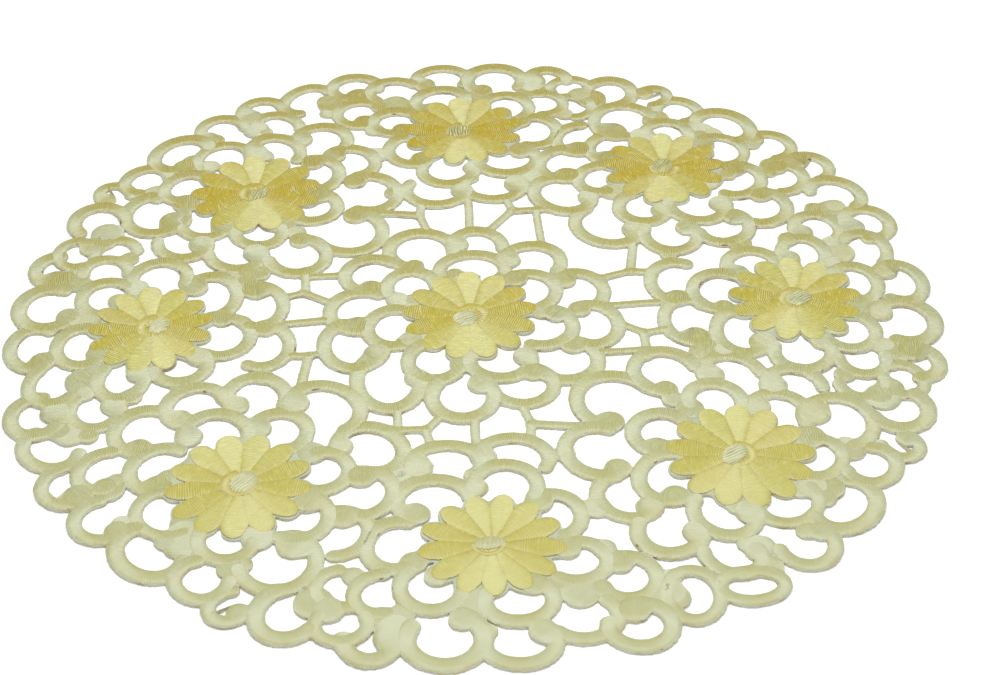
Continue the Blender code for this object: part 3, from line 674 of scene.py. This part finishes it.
def eye_shape(centre, eye):
    """The oval pad at a daisy's middle. Its stitches all run one way, whichever way it leans."""
    way, over = direction(eye.stitch_way), direction(eye.stitch_way - 90)
    axes = np.array([direction(eye.turn), direction(eye.turn + 90)])
    oval = axes.T @ np.diag([eye.half_long ** -2, eye.half_short ** -2]) @ axes
    reach = math.sqrt(over @ np.linalg.inv(oval) @ over) * math.cos(math.radians(FIRST_CAP_ANGLE))
    step = np.linspace(-reach, reach, int(2 * reach / FINE_STATION))
    along, skew, aside = way @ oval @ way, way @ oval @ over, over @ oval @ over
    middle = -step * skew / along
    half = np.sqrt((step * skew) ** 2 - along * (step ** 2 * aside - 1)) / along
    centres = centre + step[:, None] * over + middle[:, None] * way
    focus = (eye.half_long ** 2 - eye.half_short ** 2) / eye.half_long
    inside = np.linspace(-focus, focus, EYE_DISCS)
    radii = eye.half_short * np.sqrt(1 - inside ** 2 / (focus * eye.half_long))
    stroke = Stroke(centre + inside[:, None] * axes[0], radii)
    return Shape(stroke, facing_up(centres, np.repeat(way[None], len(step), axis=0), half, half))


def eye_shapes():
    return [eye_shape(np.array([x + eye.x, y + eye.y]), eye)
            for (x, y, _), eye in zip(daisies(), EYES)]


def ring_shapes():
    """The gold cord that runs part of the way round each eye."""
    return [scroll_shape(Scroll(x + ring.x, y + ring.y, RING_RADIUS, RING_RADIUS, ring.start,
                                ring.end, ring.width, 0.0))
            for (x, y, _), ring in zip(daisies(), RINGS)]


def stray_shapes():
    """Loose thread ends, each a thin bent arc."""
    found = []
    for row in STRAYS:
        radius = row.length / math.radians(STRAY_BEND)
        x, y = np.array([row.x, row.y]) + direction(row.way + 90) * radius
        found.append(scroll_shape(Scroll(x, y, radius, radius, row.way - 90,
                                         row.way - 90 + STRAY_BEND, STRAY_WIDTH, 0.0)))
    return found


def ground_shapes():
    """What the ground cloth keeps under the daisies: a piece for each petal and a disc for each eye."""
    discs = [Shape(Stroke(np.array([[x + daisy.x, y + daisy.y]]), np.array([EYE_RADIUS])), None)
             for (x, y, _), daisy in zip(daisies(), DAISIES)]
    return each_petal(petal_ground) + discs


def all_shapes():
    """Every stitched shape of the mat, in lists by the piece that it goes to."""
    ring = [scroll_shape(row) for row in MIDDLE_WREATH + MIDDLE_RING]
    shapes = {
        "ground": ground_shapes(),
        "net_bars": [],
        "stitched_pads": pad_shapes(MIDDLE_PADS),
        "rim_scrolls": [],
        "second_row_scrolls": [],
        "wreath_scrolls": ring[:len(MIDDLE_WREATH)],
        "ring_scrolls": ring[len(MIDDLE_WREATH):],
    }
    sewn_to = [shape.stroke for shape in ring] + [shape.stroke for shape in pad_shapes(MIDDLE_PADS)]
    for sector in SECTORS:
        for name, found in sector_shapes(sector, sewn_to).items():
            shapes[name] += found
    return shapes


def stitched_field(strokes):
    """Signed distance to the cloth's edge on a square grid, below zero on the cloth.

    Shapes that meet are blended over MELT, as thread fills the corner between two scrolls.
    """
    axis = np.arange(-CHART_REACH, CHART_REACH, GRID)
    field = np.full((axis.size, axis.size), FAR_OFF)
    for stroke in strokes:
        reach = stroke.radii.max() + FAR_OFF
        low = np.searchsorted(axis, stroke.points.min(axis=0) - reach)
        high = np.searchsorted(axis, stroke.points.max(axis=0) + reach)
        x = axis[low[0]:high[0]][None, :]
        y = axis[low[1]:high[1]][:, None]
        near = np.full((y.size, x.size), 2 * FAR_OFF)
        for (px, py), radius in zip(stroke.points, stroke.radii):
            near = np.minimum(near, np.hypot(x - px, y - py) - radius)
        window = field[low[1]:high[1], low[0]:high[0]]
        blend = np.clip(0.5 + 0.5 * (window - near) / MELT, 0.0, 1.0)
        window[...] = near * blend + window * (1 - blend) - MELT * blend * (1 - blend)
    return axis, field


def sampled(axis, field, points):
    """The field's value at each point, between the grid's four nearest."""
    place = (points - axis[0]) / GRID
    cell = np.clip(place.astype(int), 0, len(axis) - 2)
    fx, fy = np.moveaxis(place - cell, -1, 0)
    i, j = np.moveaxis(cell, -1, 0)
    low = field[j, i] * (1 - fx) + field[j, i + 1] * fx
    high = field[j + 1, i] * (1 - fx) + field[j + 1, i + 1] * fx
    return low * (1 - fy) + high * fy


def cloth_edges(axis, field):
    """Walks the zero line of the field and gives it as closed loops, the cloth on their left."""
    inside = (field < 0).astype(int)
    corners = inside[:-1, :-1] + 2 * inside[:-1, 1:] + 4 * inside[1:, 1:] + 8 * inside[1:, :-1]
    following = {}
    for j, i in np.argwhere((corners > 0) & (corners < 15)):
        sides = [(j, i, j, i + 1), (j, i + 1, j + 1, i + 1), (j + 1, i, j + 1, i + 1), (j, i, j + 1, i)]
        for enters, leaves in EDGE_WALKS[int(corners[j, i])]:
            following[sides[enters]] = sides[leaves]
    loops = []
    while following:
        side = next(iter(following))
        points = []
        while side in following:
            j1, i1, j2, i2 = side
            share = field[j1, i1] / (field[j1, i1] - field[j2, i2])
            points.append((axis[i1] + (axis[i2] - axis[i1]) * share,
                           axis[j1] + (axis[j2] - axis[j1]) * share))
            side = following.pop(side)
        loops.append(np.array(points))
    return loops


def enclosed_area(loop):
    x, y = loop[:, 0], loop[:, 1]
    return 0.5 * float(np.sum(x * np.roll(y, -1) - y * np.roll(x, -1)))


def gap_width(loop):
    """A gap's width: four times its area over the length of its edge, as for a round hole."""
    edge = np.sum(np.hypot(*(loop - np.roll(loop, -1, axis=0)).T))
    return 4 * abs(enclosed_area(loop)) / edge


def thinned(loop):
    """Leaves out the points that lie within SLACK of the line between those that stay."""
    far = int(np.argmax(np.hypot(*(loop - loop[0]).T)))
    ring = np.vstack([loop, loop[:1]])
    kept = {0, far}
    spans = [(0, far), (far, len(loop))]
    while spans:
        first, last = spans.pop()
        if last - first < 2:
            continue
        line = ring[last] - ring[first]
        between = ring[first + 1:last] - ring[first]
        off = np.abs(line[0] * between[:, 1] - line[1] * between[:, 0]) / np.hypot(*line)
        widest = int(np.argmax(off))
        if off[widest] > SLACK:
            middle = first + 1 + widest
            kept.add(middle)
            spans += [(first, middle), (middle, last)]
    return loop[sorted(kept)]


def lace_loops(axis, field):
    """The rim first, then every gap that is cut through, both drawn in by TUCK."""
    loops = cloth_edges(axis, field + TUCK)
    rim = max(loops, key=enclosed_area)
    gaps = [loop for loop in loops
            if enclosed_area(loop) < 0 and gap_width(loop) > SMALLEST_GAP + 2 * TUCK]
    return [thinned(loop) for loop in [rim] + gaps]


def on_cloth(points, edges, places):
    """For each place, whether a line from it to the right crosses an odd number of edges."""
    starts, ends = points[edges[:, 0]], points[edges[:, 1]]
    rises = np.where(ends[:, 1] == starts[:, 1], np.inf, ends[:, 1] - starts[:, 1])
    odd = []
    for block in np.array_split(places, len(places) // 500 + 1):
        x, y = block[:, :1], block[:, 1:]
        spans = (starts[:, 1] > y) != (ends[:, 1] > y)
        crossing = starts[:, 0] + (y - starts[:, 1]) * (ends[:, 0] - starts[:, 0]) / rises
        odd.append(np.sum(spans & (crossing > x), axis=1) % 2 == 1)
    return np.concatenate(odd)


def wobbled(points):
    """Points moved a little sideways, as a hand-guided machine and a wash leave them."""
    x, y = points[..., 0], points[..., 1]
    aside = np.sin(x / WOBBLE_LONG + 1.7 * np.sin(y / WOBBLE_SHORT / 2)) + np.sin(y / WOBBLE_SHORT)
    ahead = np.sin(y / WOBBLE_LONG + 2.1 * np.sin(x / WOBBLE_SHORT / 2)) + np.sin(x / WOBBLE_SHORT + 1)
    return points + WOBBLE / 2 * np.stack([aside, ahead], axis=-1)


def lift(points):
    """How far the cloth stands off the table at each point, in millimetres."""
    x, y = points[..., 0] / LIFT_LENGTH, points[..., 1] / LIFT_LENGTH
    swell = np.sin(x + 0.8 * np.sin(0.6 * y)) * np.cos(0.8 * y + 1.1 * np.sin(0.5 * x))
    return LIFT * (1 + swell) / 2


def in_frame(fit, flat, heights):
    """Chart points and heights as places in the frame, in metres."""
    shift, scale = fit
    moved = (wobbled(flat) - shift) * scale
    return np.concatenate([moved, (heights + lift(flat))[..., None]], axis=-1) * MM


def crown(edge, rounding):
    """Share of a crown's full rise at each distance from the edge: a quarter ellipse, then flat."""
    return np.sqrt(1 - (1 - np.clip(edge / rounding, 0, 1)) ** 2)


def edge_distance(stroke, points):
    """How far inside the outline of a stroke's discs each point lies."""
    off = np.linalg.norm(points[..., None, :] - stroke.points, axis=-1)
    return np.maximum(np.max(stroke.radii - off, axis=-1), 0.0)


def strip_part(shape, finish, number, ground, fit):
    """Places, faces, UV, edge distances and materials of one closed stitched strip.

    The UV gives millimetres along the strip and across it, so V runs with the thread.
    """
    strip = shape.strip
    count = len(strip.centres)
    share = 0.5 - 0.5 * np.cos(np.linspace(0, math.pi, ACROSS))
    run = np.concatenate([[0], np.cumsum(np.linalg.norm(np.diff(strip.centres, axis=0), axis=1))])
    run += FRESH_START * number
    ridges = finish.ridge * np.abs(np.sin(math.pi * run / RIDGE_PITCH))
    ragged = finish.ragged * np.random.default_rng(number).uniform(-1, 1, (2, count)) + ridges
    left = strip.left + ragged[0] * np.minimum(strip.left, 1)
    right = strip.right + ragged[1] * np.minimum(strip.right, 1)
    offset = -left[:, None] + (left + right)[:, None] * share
    flat = strip.centres[:, None] + strip.across[:, None] * offset[..., None]
    edge = edge_distance(shape.stroke, flat)
    union = np.maximum(-sampled(*ground, flat), 0.0)
    merged = MERGED * crown(union, UNION_ROUNDING) + (1 - MERGED) * crown(edge, finish.rounding)
    layer = LAYER_STEP * (number * 2 % LAYERS)
    heights = finish.wall + layer + finish.crown * merged + ridges[:, None] * np.minimum(edge, 1.0)
    top = in_frame(fit, flat, heights)
    base = in_frame(fit, flat[:, [0, -1]], np.full((count, 2), layer / 2))
    places = np.concatenate([top.reshape(-1, 3), base.reshape(-1, 3)])
    reach = np.stack([np.broadcast_to(run[:, None], offset.shape), offset], axis=-1)
    base_reach = np.stack([run, offset[:, 0] - finish.wall, run, offset[:, -1] + finish.wall], axis=1)
    uv = np.concatenate([reach.reshape(-1, 2), base_reach.reshape(-1, 2)])
    seam = np.concatenate([edge.reshape(-1), np.zeros(2 * count)])
    rim = np.concatenate([union.reshape(-1), np.zeros(2 * count)])
    # Share of the thread that runs east; the materials paint a sheen into the colour by it.
    east = strip.across[:, 0] ** 2
    east = np.concatenate([np.repeat(east, ACROSS), np.repeat(east, 2)])
    grid = np.arange(count * ACROSS).reshape(count, ACROSS)
    under = count * ACROSS + np.arange(2 * count).reshape(count, 2)
    tops = np.stack([grid[:-1, :-1], grid[1:, :-1], grid[1:, 1:], grid[:-1, 1:]], axis=-1)
    lefts = np.stack([under[:-1, 0], under[1:, 0], grid[1:, 0], grid[:-1, 0]], axis=-1)
    rights = np.stack([under[1:, 1], under[:-1, 1], grid[:-1, -1], grid[1:, -1]], axis=-1)
    bottoms = np.stack([under[:-1, 0], under[:-1, 1], under[1:, 1], under[1:, 0]], axis=-1)
    faces = np.concatenate([tops.reshape(-1, 4), bottoms, lefts, rights]).tolist()
    faces.append([under[0, 1], under[0, 0], *grid[0]])
    faces.append([under[-1, 0], under[-1, 1], *grid[-1, ::-1]])
    crowns = tops.shape[0] * tops.shape[1] + len(bottoms)
    materials = [0] * crowns + [1] * (len(faces) - crowns)
    return places, faces, uv, seam, rim, east, materials


def mesh_piece(name, parts, materials):
    """One mesh object from several closed parts, with their UV, edge distances and thread ways."""
    places = np.concatenate([part[0] for part in parts])
    faces = []
    slots = []
    first = 0
    for part in parts:
        faces += [[first + corner for corner in face] for face in part[1]]
        slots += part[6]
        first += len(part[0])
    mesh = bpy.data.meshes.new(name)
    mesh.from_pydata(places.tolist(), [], faces)
    mesh.polygons.foreach_set("material_index", slots)
    corners = np.zeros(len(mesh.loops), dtype=int)
    mesh.loops.foreach_get("vertex_index", corners)
    stitch = mesh.uv_layers.new(name="stitch")
    stitch.data.foreach_set("uv", np.concatenate([part[2] for part in parts])[corners].ravel())
    for number, attribute in ((3, "seam_mm"), (4, "rim_mm"), (5, "thread_east")):
        values = mesh.attributes.new(attribute, "FLOAT", "POINT")
        values.data.foreach_set("value", np.concatenate([part[number] for part in parts]))
    mesh.shade_smooth()
    mesh.set_sharp_from_angle(angle=math.radians(SHARP_ANGLE))
    mesh.update()
    for material in materials:
        mesh.materials.append(material)
    piece = bpy.data.objects.new(name, mesh)
    bpy.context.scene.collection.objects.link(piece)
    return piece


def ground_part(axis, field, fit):
    """The thin ground cloth: flat under and over, with walls round the rim and every gap."""
    loops = lace_loops(axis, field)
    points = np.concatenate(loops)
    edges = []
    first = 0
    for loop in loops:
        count = len(loop)
        edges += [(first + i, first + (i + 1) % count) for i in range(count)]
        first += count
    edges = np.array(edges)
    result = delaunay_2d_cdt([Vector(point) for point in points], edges.tolist(), [], WHOLE_HULL,
                             SAME_POINT, True)
    number = np.array([origin[0] for origin in result[3]])
    triangles = number[np.array(result[2])]
    triangles = triangles[on_cloth(points, edges, points[triangles].mean(axis=1))]
    count = len(points)
    under = in_frame(fit, points, np.full(count, GROUND_UNDER))
    over = in_frame(fit, points, np.full(count, GROUND_TOP))
    walls = np.stack([edges[:, 0], edges[:, 1], edges[:, 1] + count, edges[:, 0] + count], axis=1)
    faces = (triangles + count).tolist() + triangles[:, ::-1].tolist() + walls.tolist()
    slots = [0] * (2 * len(triangles)) + [1] * len(walls)
    uv = np.concatenate([points, points + WALL])
    nothing = np.zeros(2 * count)
    return np.concatenate([under, over]), faces, uv, nothing, nothing, nothing, slots


def linear(code):
    """The linear colour of an sRGB hex code."""
    shares = [int(code[i:i + 2], 16) / 255 for i in (1, 3, 5)]
    return (*[c / 12.92 if c <= 0.04045 else ((c + 0.055) / 1.055) ** 2.4 for c in shares], 1.0)


def add(tree, kind, inputs=(), output=0, **settings):
    """Adds a node and gives one of its outputs. Each input is a value or another node's output.

    Inputs go by name or number, or in order where no names are given.
    """
    node = tree.nodes.new(kind)
    for name, value in settings.items():
        setattr(node, name, value)
    named = inputs if isinstance(inputs, dict) else dict(enumerate(inputs))
    for name, value in named.items():
        if isinstance(value, bpy.types.NodeSocket):
            tree.links.new(value, node.inputs[name])
        else:
            node.inputs[name].default_value = value
    return node.outputs[output] if node.outputs else node


MATH, MIX, RANGE = "ShaderNodeMath", "ShaderNodeMix", "ShaderNodeMapRange"
ATTRIBUTE, NOISE = "ShaderNodeAttribute", "ShaderNodeTexNoise"


def new_material(name):
    material = bpy.data.materials.new(name)
    material.use_nodes = True
    material.node_tree.nodes.clear()
    return material, material.node_tree


def blotches(tree, size, detail=2.0):
    """Soft noise of about size millimetres, fixed to the mat."""
    place = add(tree, "ShaderNodeTexCoord", output="Object")
    return add(tree, NOISE, {"Vector": place, "Scale": 1 / (size * MM), "Detail": detail})


def patches(tree, size, low, high):
    """Blotches pushed apart into patches: 0 below low, 1 above high, soft between."""
    return add(tree, RANGE, {"Value": blotches(tree, size), "From Min": low, "From Max": high},
               interpolation_type="SMOOTHSTEP")


def weighted(tree, start, terms):
    """Start plus each term times its weight."""
    total = start
    for socket, weight in terms:
        total = add(tree, MATH, (socket, weight, total), operation="MULTIPLY_ADD")
    return total


def stretched_noise(tree, place, stretch):
    """Noise drawn out along the thread."""
    drawn = add(tree, "ShaderNodeVectorMath", (place, stretch), operation="MULTIPLY")
    return add(tree, NOISE, {"Vector": drawn, "Scale": 1.0, "Detail": 2.0})


def stitch_ticks(tree, stitch, look):
    """The dents between stitches along the band, sharp in some patches and pressed flat in others."""
    run = add(tree, "ShaderNodeSeparateXYZ", (stitch,))
    run = weighted(tree, run, ((blotches(tree, 6.0), look.tick_drift),))
    run = add(tree, MATH, (run, 2 * math.pi / look.tick_pitch), operation="MULTIPLY")
    ticks = add(tree, MATH, (run,), operation="SINE")
    return add(tree, MATH, (ticks, patches(tree, 11.0, 0.36, 0.62)), operation="MULTIPLY")


def thread_tint_and_sheen(tree, look, east, place):
    """The thread's colour: paler where it runs east, a painted sheen; paler towards the near side where
    it runs north, and deeper towards the far side.
    """
    north = add(tree, MATH, (1.0, east), operation="SUBTRACT")
    near_paling = add(tree, MATH, (north, place), operation="MULTIPLY")
    # east's weight here is a painted sheen: thread that runs east is drawn paler.
    tone = weighted(tree, -0.4, ((east, 0.75), (blotches(tree, 4.0), 0.6),
                                 (blotches(tree, 30.0), 0.6), (near_paling, NEAR_PALING)))
    colour = add(tree, MIX, {0: tone, 6: linear(look.north), 7: linear(look.east)}, 2,
                 data_type="RGBA")
    far = add(tree, RANGE, {"Value": place, "From Min": FAR_FROM, "From Max": FAR_TO,
                            "To Max": FAR_SHARE})
    deep = add(tree, MATH, (1.0, tone), operation="SUBTRACT", use_clamp=True)
    far = add(tree, MATH, (far, deep), operation="MULTIPLY")
    return add(tree, MIX, {0: far, 6: colour, 7: linear(look.far)}, 2, data_type="RGBA")


def glints_and_bleach(tree, look, colour, glints, ticks, east, worn):
    """Mixes in painted glints, pale streaks that stand in for light caught by the thread, and the
    bleached tone of the worn side.
    """
    # The ticks' crests add painted glints too.
    tick_glints = add(tree, RANGE, {"Value": ticks, "From Min": 0.1, "To Max": 0.8})
    glints = add(tree, MATH, (glints, tick_glints), operation="MAXIMUM")
    glints = add(tree, MATH, (glints, weighted(tree, look.hair_share, ((east, -FEWER_GLINTS_EAST),))),
                operation="MULTIPLY")
    glints = add(tree, MATH, (glints, worn), operation="MULTIPLY")
    bleached = add(tree, RANGE, {"Value": worn, "From Min": 1.0, "From Max": 0.0,
                                 "To Max": BLEACH * look.hair_share})
    glints = add(tree, MATH, (glints, bleached), operation="ADD")
    return add(tree, MIX, {0: glints, 6: colour, 7: linear(GLINT_AND_BLEACH_TONE)}, 2, data_type="RGBA")


def edge_tints(tree, look, colour, ticks):
    """Tints the edges: a ragged border, which is a painted highlight on the pale threads and a darker
    seam on the others, a soft toasted tint in patches and singed specks.
    """
    border, cut = [add(tree, ATTRIBUTE, output="Fac", attribute_name=kind)
                   for kind in (look.rim_from, "rim_mm")]
    ragged = weighted(tree, border, ((ticks, look.rim_teeth),))
    by_border, by_cut = [add(tree, RANGE, {"Value": edge, "From Min": 1.0, "From Max": 0.2},
                             interpolation_type="SMOOTHSTEP") for edge in (ragged, cut)]
    # On the pale threads this border is a painted highlight along the edge; on the others a darker
    # seam.
    rim = add(tree, MATH, (by_border, look.rim_share), operation="MULTIPLY")
    colour = add(tree, MIX, {0: rim, 6: colour, 7: linear(look.rim)}, 2, data_type="RGBA")
    toasted = add(tree, RANGE, {"Value": cut, "From Min": 3.2, "From Max": 0.3, "To Max": TOAST})
    toasted = add(tree, MATH, (toasted, patches(tree, 10.0, 0.46, 0.66)), operation="MULTIPLY")
    colour = add(tree, MIX, {0: toasted, 6: colour, 7: linear(TOASTED)}, 2, data_type="RGBA")
    singed = add(tree, MATH, (by_cut, patches(tree, 8.0, 0.69, 0.74)), operation="MULTIPLY")
    return add(tree, MIX, {0: singed, 6: colour, 7: linear(SCORCH)}, 2, data_type="RGBA")


def satin_stitch(name, look):
    """Rayon thread laid side by side: it gleams along the band, more so where it runs east, by its real
    gloss and by a sheen painted into its colour.
    """
    material, tree = new_material(name)
    stitch = add(tree, "ShaderNodeUVMap", uv_map="stitch")
    ticks = stitch_ticks(tree, stitch, look)
    threads, strands, glint_streaks = [stretched_noise(tree, stitch, stretch)
                               for stretch in (THREAD, STRAND, GLINT_STREAKS)]
    # Painted glints: short pale streaks standing in for light caught by the thread.
    glints = add(tree, RANGE, {"Value": glint_streaks, "From Min": 0.58, "From Max": 0.68})
    east = add(tree, ATTRIBUTE, output="Fac", attribute_name="thread_east")
    place = add(tree, "ShaderNodeTexCoord", output="Object")
    place = add(tree, "ShaderNodeSeparateXYZ", (place,), 1)
    worn = add(tree, RANGE, {"Value": place, "From Min": WORN_FROM, "From Max": WORN_TO,
                             "To Min": WORN})
    colour = thread_tint_and_sheen(tree, look, east, place)
    colour = glints_and_bleach(tree, look, colour, glints, ticks, east, worn)
    colour = edge_tints(tree, look, colour, ticks)
    tones = ((ticks, look.tick_tone), (threads, look.strand_tone), (strands, look.strand_tone),
             (blotches(tree, 0.9), 0.5))
    shade = weighted(tree, -0.26 - look.strand_tone, tones)
    shade = add(tree, MATH, (shade, worn, 1.0), operation="MULTIPLY_ADD")
    colour = add(tree, "ShaderNodeVectorMath", {0: colour, "Scale": shade}, operation="SCALE")
    relief = weighted(tree, ticks, ((threads, 1.5), (strands, 3.0)))
    relief = add(tree, MATH, (relief, worn), operation="MULTIPLY")
    bump = add(tree, "ShaderNodeBump",
               {"Height": relief, "Strength": 1.0, "Distance": look.tick_depth * MM})
    way = add(tree, "ShaderNodeTangent", direction_type="UV_MAP", uv_map="stitch")
    shader = add(tree, "ShaderNodeBsdfPrincipled", {
        "Base Color": colour, "Roughness": THREAD_ROUGHNESS, "IOR": THREAD_IOR,
        "Specular IOR Level": THREAD_GLOSS, "Anisotropic": THREAD_GLIDE, "Normal": bump,
        "Tangent": way})
    add(tree, "ShaderNodeOutputMaterial", (shader,))
    return material


def cut_edge(name):
    """Thread ends fused by a hot knife: dull olive and grey, singed brown here and there."""
    material, tree = new_material(name)
    colour = add(tree, MIX, {0: patches(tree, 5.0, 0.35, 0.65), 6: linear(CUT_EDGE),
                             7: linear(CUT_EDGE_PALE)}, 2, data_type="RGBA")
    singed = add(tree, MATH, (patches(tree, 11.0, 0.56, 0.74), 0.7), operation="MULTIPLY")
    colour = add(tree, MIX, {0: singed, 6: colour, 7: linear(SCORCH)}, 2, data_type="RGBA")
    bump = add(tree, "ShaderNodeBump",
               {"Height": blotches(tree, 0.6), "Strength": 1.0, "Distance": 0.15 * MM})
    shader = add(tree, "ShaderNodeBsdfPrincipled", {
        "Base Color": colour, "Roughness": 0.7, "IOR": THREAD_IOR, "Normal": bump})
    add(tree, "ShaderNodeOutputMaterial", (shader,))
    return material


def fused_ground(name):
    """Thin woven ground under the stitches: pale grey, flat and slightly glazed by heat."""
    material, tree = new_material(name)
    place = add(tree, "ShaderNodeUVMap", uv_map="stitch")
    turned = add(tree, "ShaderNodeVectorMath", (place, (2 * math.pi / GROUND_WEAVE,) * 3),
                 operation="MULTIPLY")
    waves = [add(tree, MATH, (add(tree, "ShaderNodeSeparateXYZ", (turned,), side),),
                 operation="SINE") for side in (0, 1)]
    weave = add(tree, MATH, waves, operation="MULTIPLY")
    tones = ((weave, 0.2), (blotches(tree, 1.5), 1.0), (blotches(tree, 8.0), 1.6))
    tone = weighted(tree, -0.8, tones)
    colour = add(tree, MIX, {0: tone, 6: linear(GROUND_DEEP), 7: linear(GROUND_PALE)}, 2,
                 data_type="RGBA")
    bump = add(tree, "ShaderNodeBump", {"Height": weave, "Strength": 1.0, "Distance": 0.05 * MM})
    shader = add(tree, "ShaderNodeBsdfPrincipled", {
        "Base Color": colour, "Roughness": 0.5, "IOR": THREAD_IOR, "Normal": bump})
    add(tree, "ShaderNodeOutputMaterial", (shader,))
    return material


def dress(pieces):
    """Says of each piece what it rides on, and hides the solid's lace part."""
    for piece in pieces:
        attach(piece, "root")
        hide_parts("doily_lace")


def make_doily():
    """Makes the ground cloth and everything stitched on it, and lays them as one sheet."""
    shapes = all_shapes()
    strokes = [shape.stroke for group in shapes.values() for shape in group]
    ground = stitched_field(strokes)
    rim = max(cloth_edges(*ground), key=enclosed_area)
    low, high = rim.min(axis=0), rim.max(axis=0)
    width = (cad_box[1].x - cad_box[0].x) / MM
    fit = ((low + high) / 2, width / float(np.max(high - low)))
    shapes["daisy_petals"] = each_petal(petal_shape)
    shapes["gold_rings"] = ring_shapes()
    shapes["stray_threads"] = stray_shapes()
    shapes["daisy_eyes"] = eye_shapes()
    looks = {name: satin_stitch(name, look) for name, look in LOOKS.items()}
    edge = cut_edge("singed_cut_edge")
    cloth = mesh_piece("ground_cloth", [ground_part(*ground, fit)],
                       [fused_ground("glazed_ground"), edge])
    pieces = [cloth]
    for name, finish in FINISHES.items():
        parts = [strip_part(shape, finish, number, ground, fit)
                 for number, shape in enumerate(shapes[name])]
        pieces.append(mesh_piece(name, parts, [looks[finish.look], edge]))
    dress(pieces)
    area = sum(enclosed_area(loop) for loop in lace_loops(*ground)) * (fit[1] * MM) ** 2


def make_floor():
    """A plain pale table top, just under the doily."""
    half = FLOOR_SIZE / 2
    mesh = bpy.data.meshes.new("floor")
    corners = [(-half, -half, FLOOR_TOP), (half, -half, FLOOR_TOP),
               (half, half, FLOOR_TOP), (-half, half, FLOOR_TOP)]
    mesh.from_pydata(corners, [], [(0, 1, 2, 3)])
    material, tree = new_material("white_matt_card")
    shader = add(tree, "ShaderNodeBsdfPrincipled",
                 {"Base Color": linear("#FFFFFF"), "Roughness": 0.9, "Specular IOR Level": 0.1})
    add(tree, "ShaderNodeOutputMaterial", (shader,))
    mesh.materials.append(material)
    floor = bpy.data.objects.new("floor", mesh)
    bpy.context.scene.collection.objects.link(floor)


def aimed(place, target, roll=0.0):
    """A turn that points an object's -Z from place at target."""
    way = Vector(target) - Vector(place)
    turn = way.to_track_quat("-Z", "Y").to_matrix() @ Matrix.Rotation(math.radians(roll), 3, "Z")
    return turn.to_euler()


def make_camera():
    camera = bpy.data.cameras.new("camera")
    camera.lens = CAMERA_LENS
    camera.sensor_width = CAMERA_SENSOR
    holder = bpy.data.objects.new("camera", camera)
    holder.location = CAMERA_PLACE
    holder.rotation_euler = aimed(CAMERA_PLACE, CAMERA_TARGET, CAMERA_ROLL)
    bpy.context.scene.collection.objects.link(holder)
    bpy.context.scene.camera = holder


def make_lights():
    world = bpy.data.worlds.new("studio")
    world.use_nodes = True
    back = world.node_tree.nodes["Background"]
    back.inputs["Color"].default_value = linear("#F6F8F8")
    back.inputs["Strength"].default_value = FILL_STRENGTH
    bpy.context.scene.world = world
    for name, place, size, power in LAMPS:
        lamp = bpy.data.lights.new(name, "AREA")
        lamp.size = size
        lamp.energy = power
        holder = bpy.data.objects.new(name, lamp)
        holder.location = place
        holder.rotation_euler = aimed(place, (0, 0, 0))
        bpy.context.scene.collection.objects.link(holder)
    bpy.context.scene.view_settings.view_transform = "Standard"


make_doily()
make_floor()
make_camera()
make_lights()
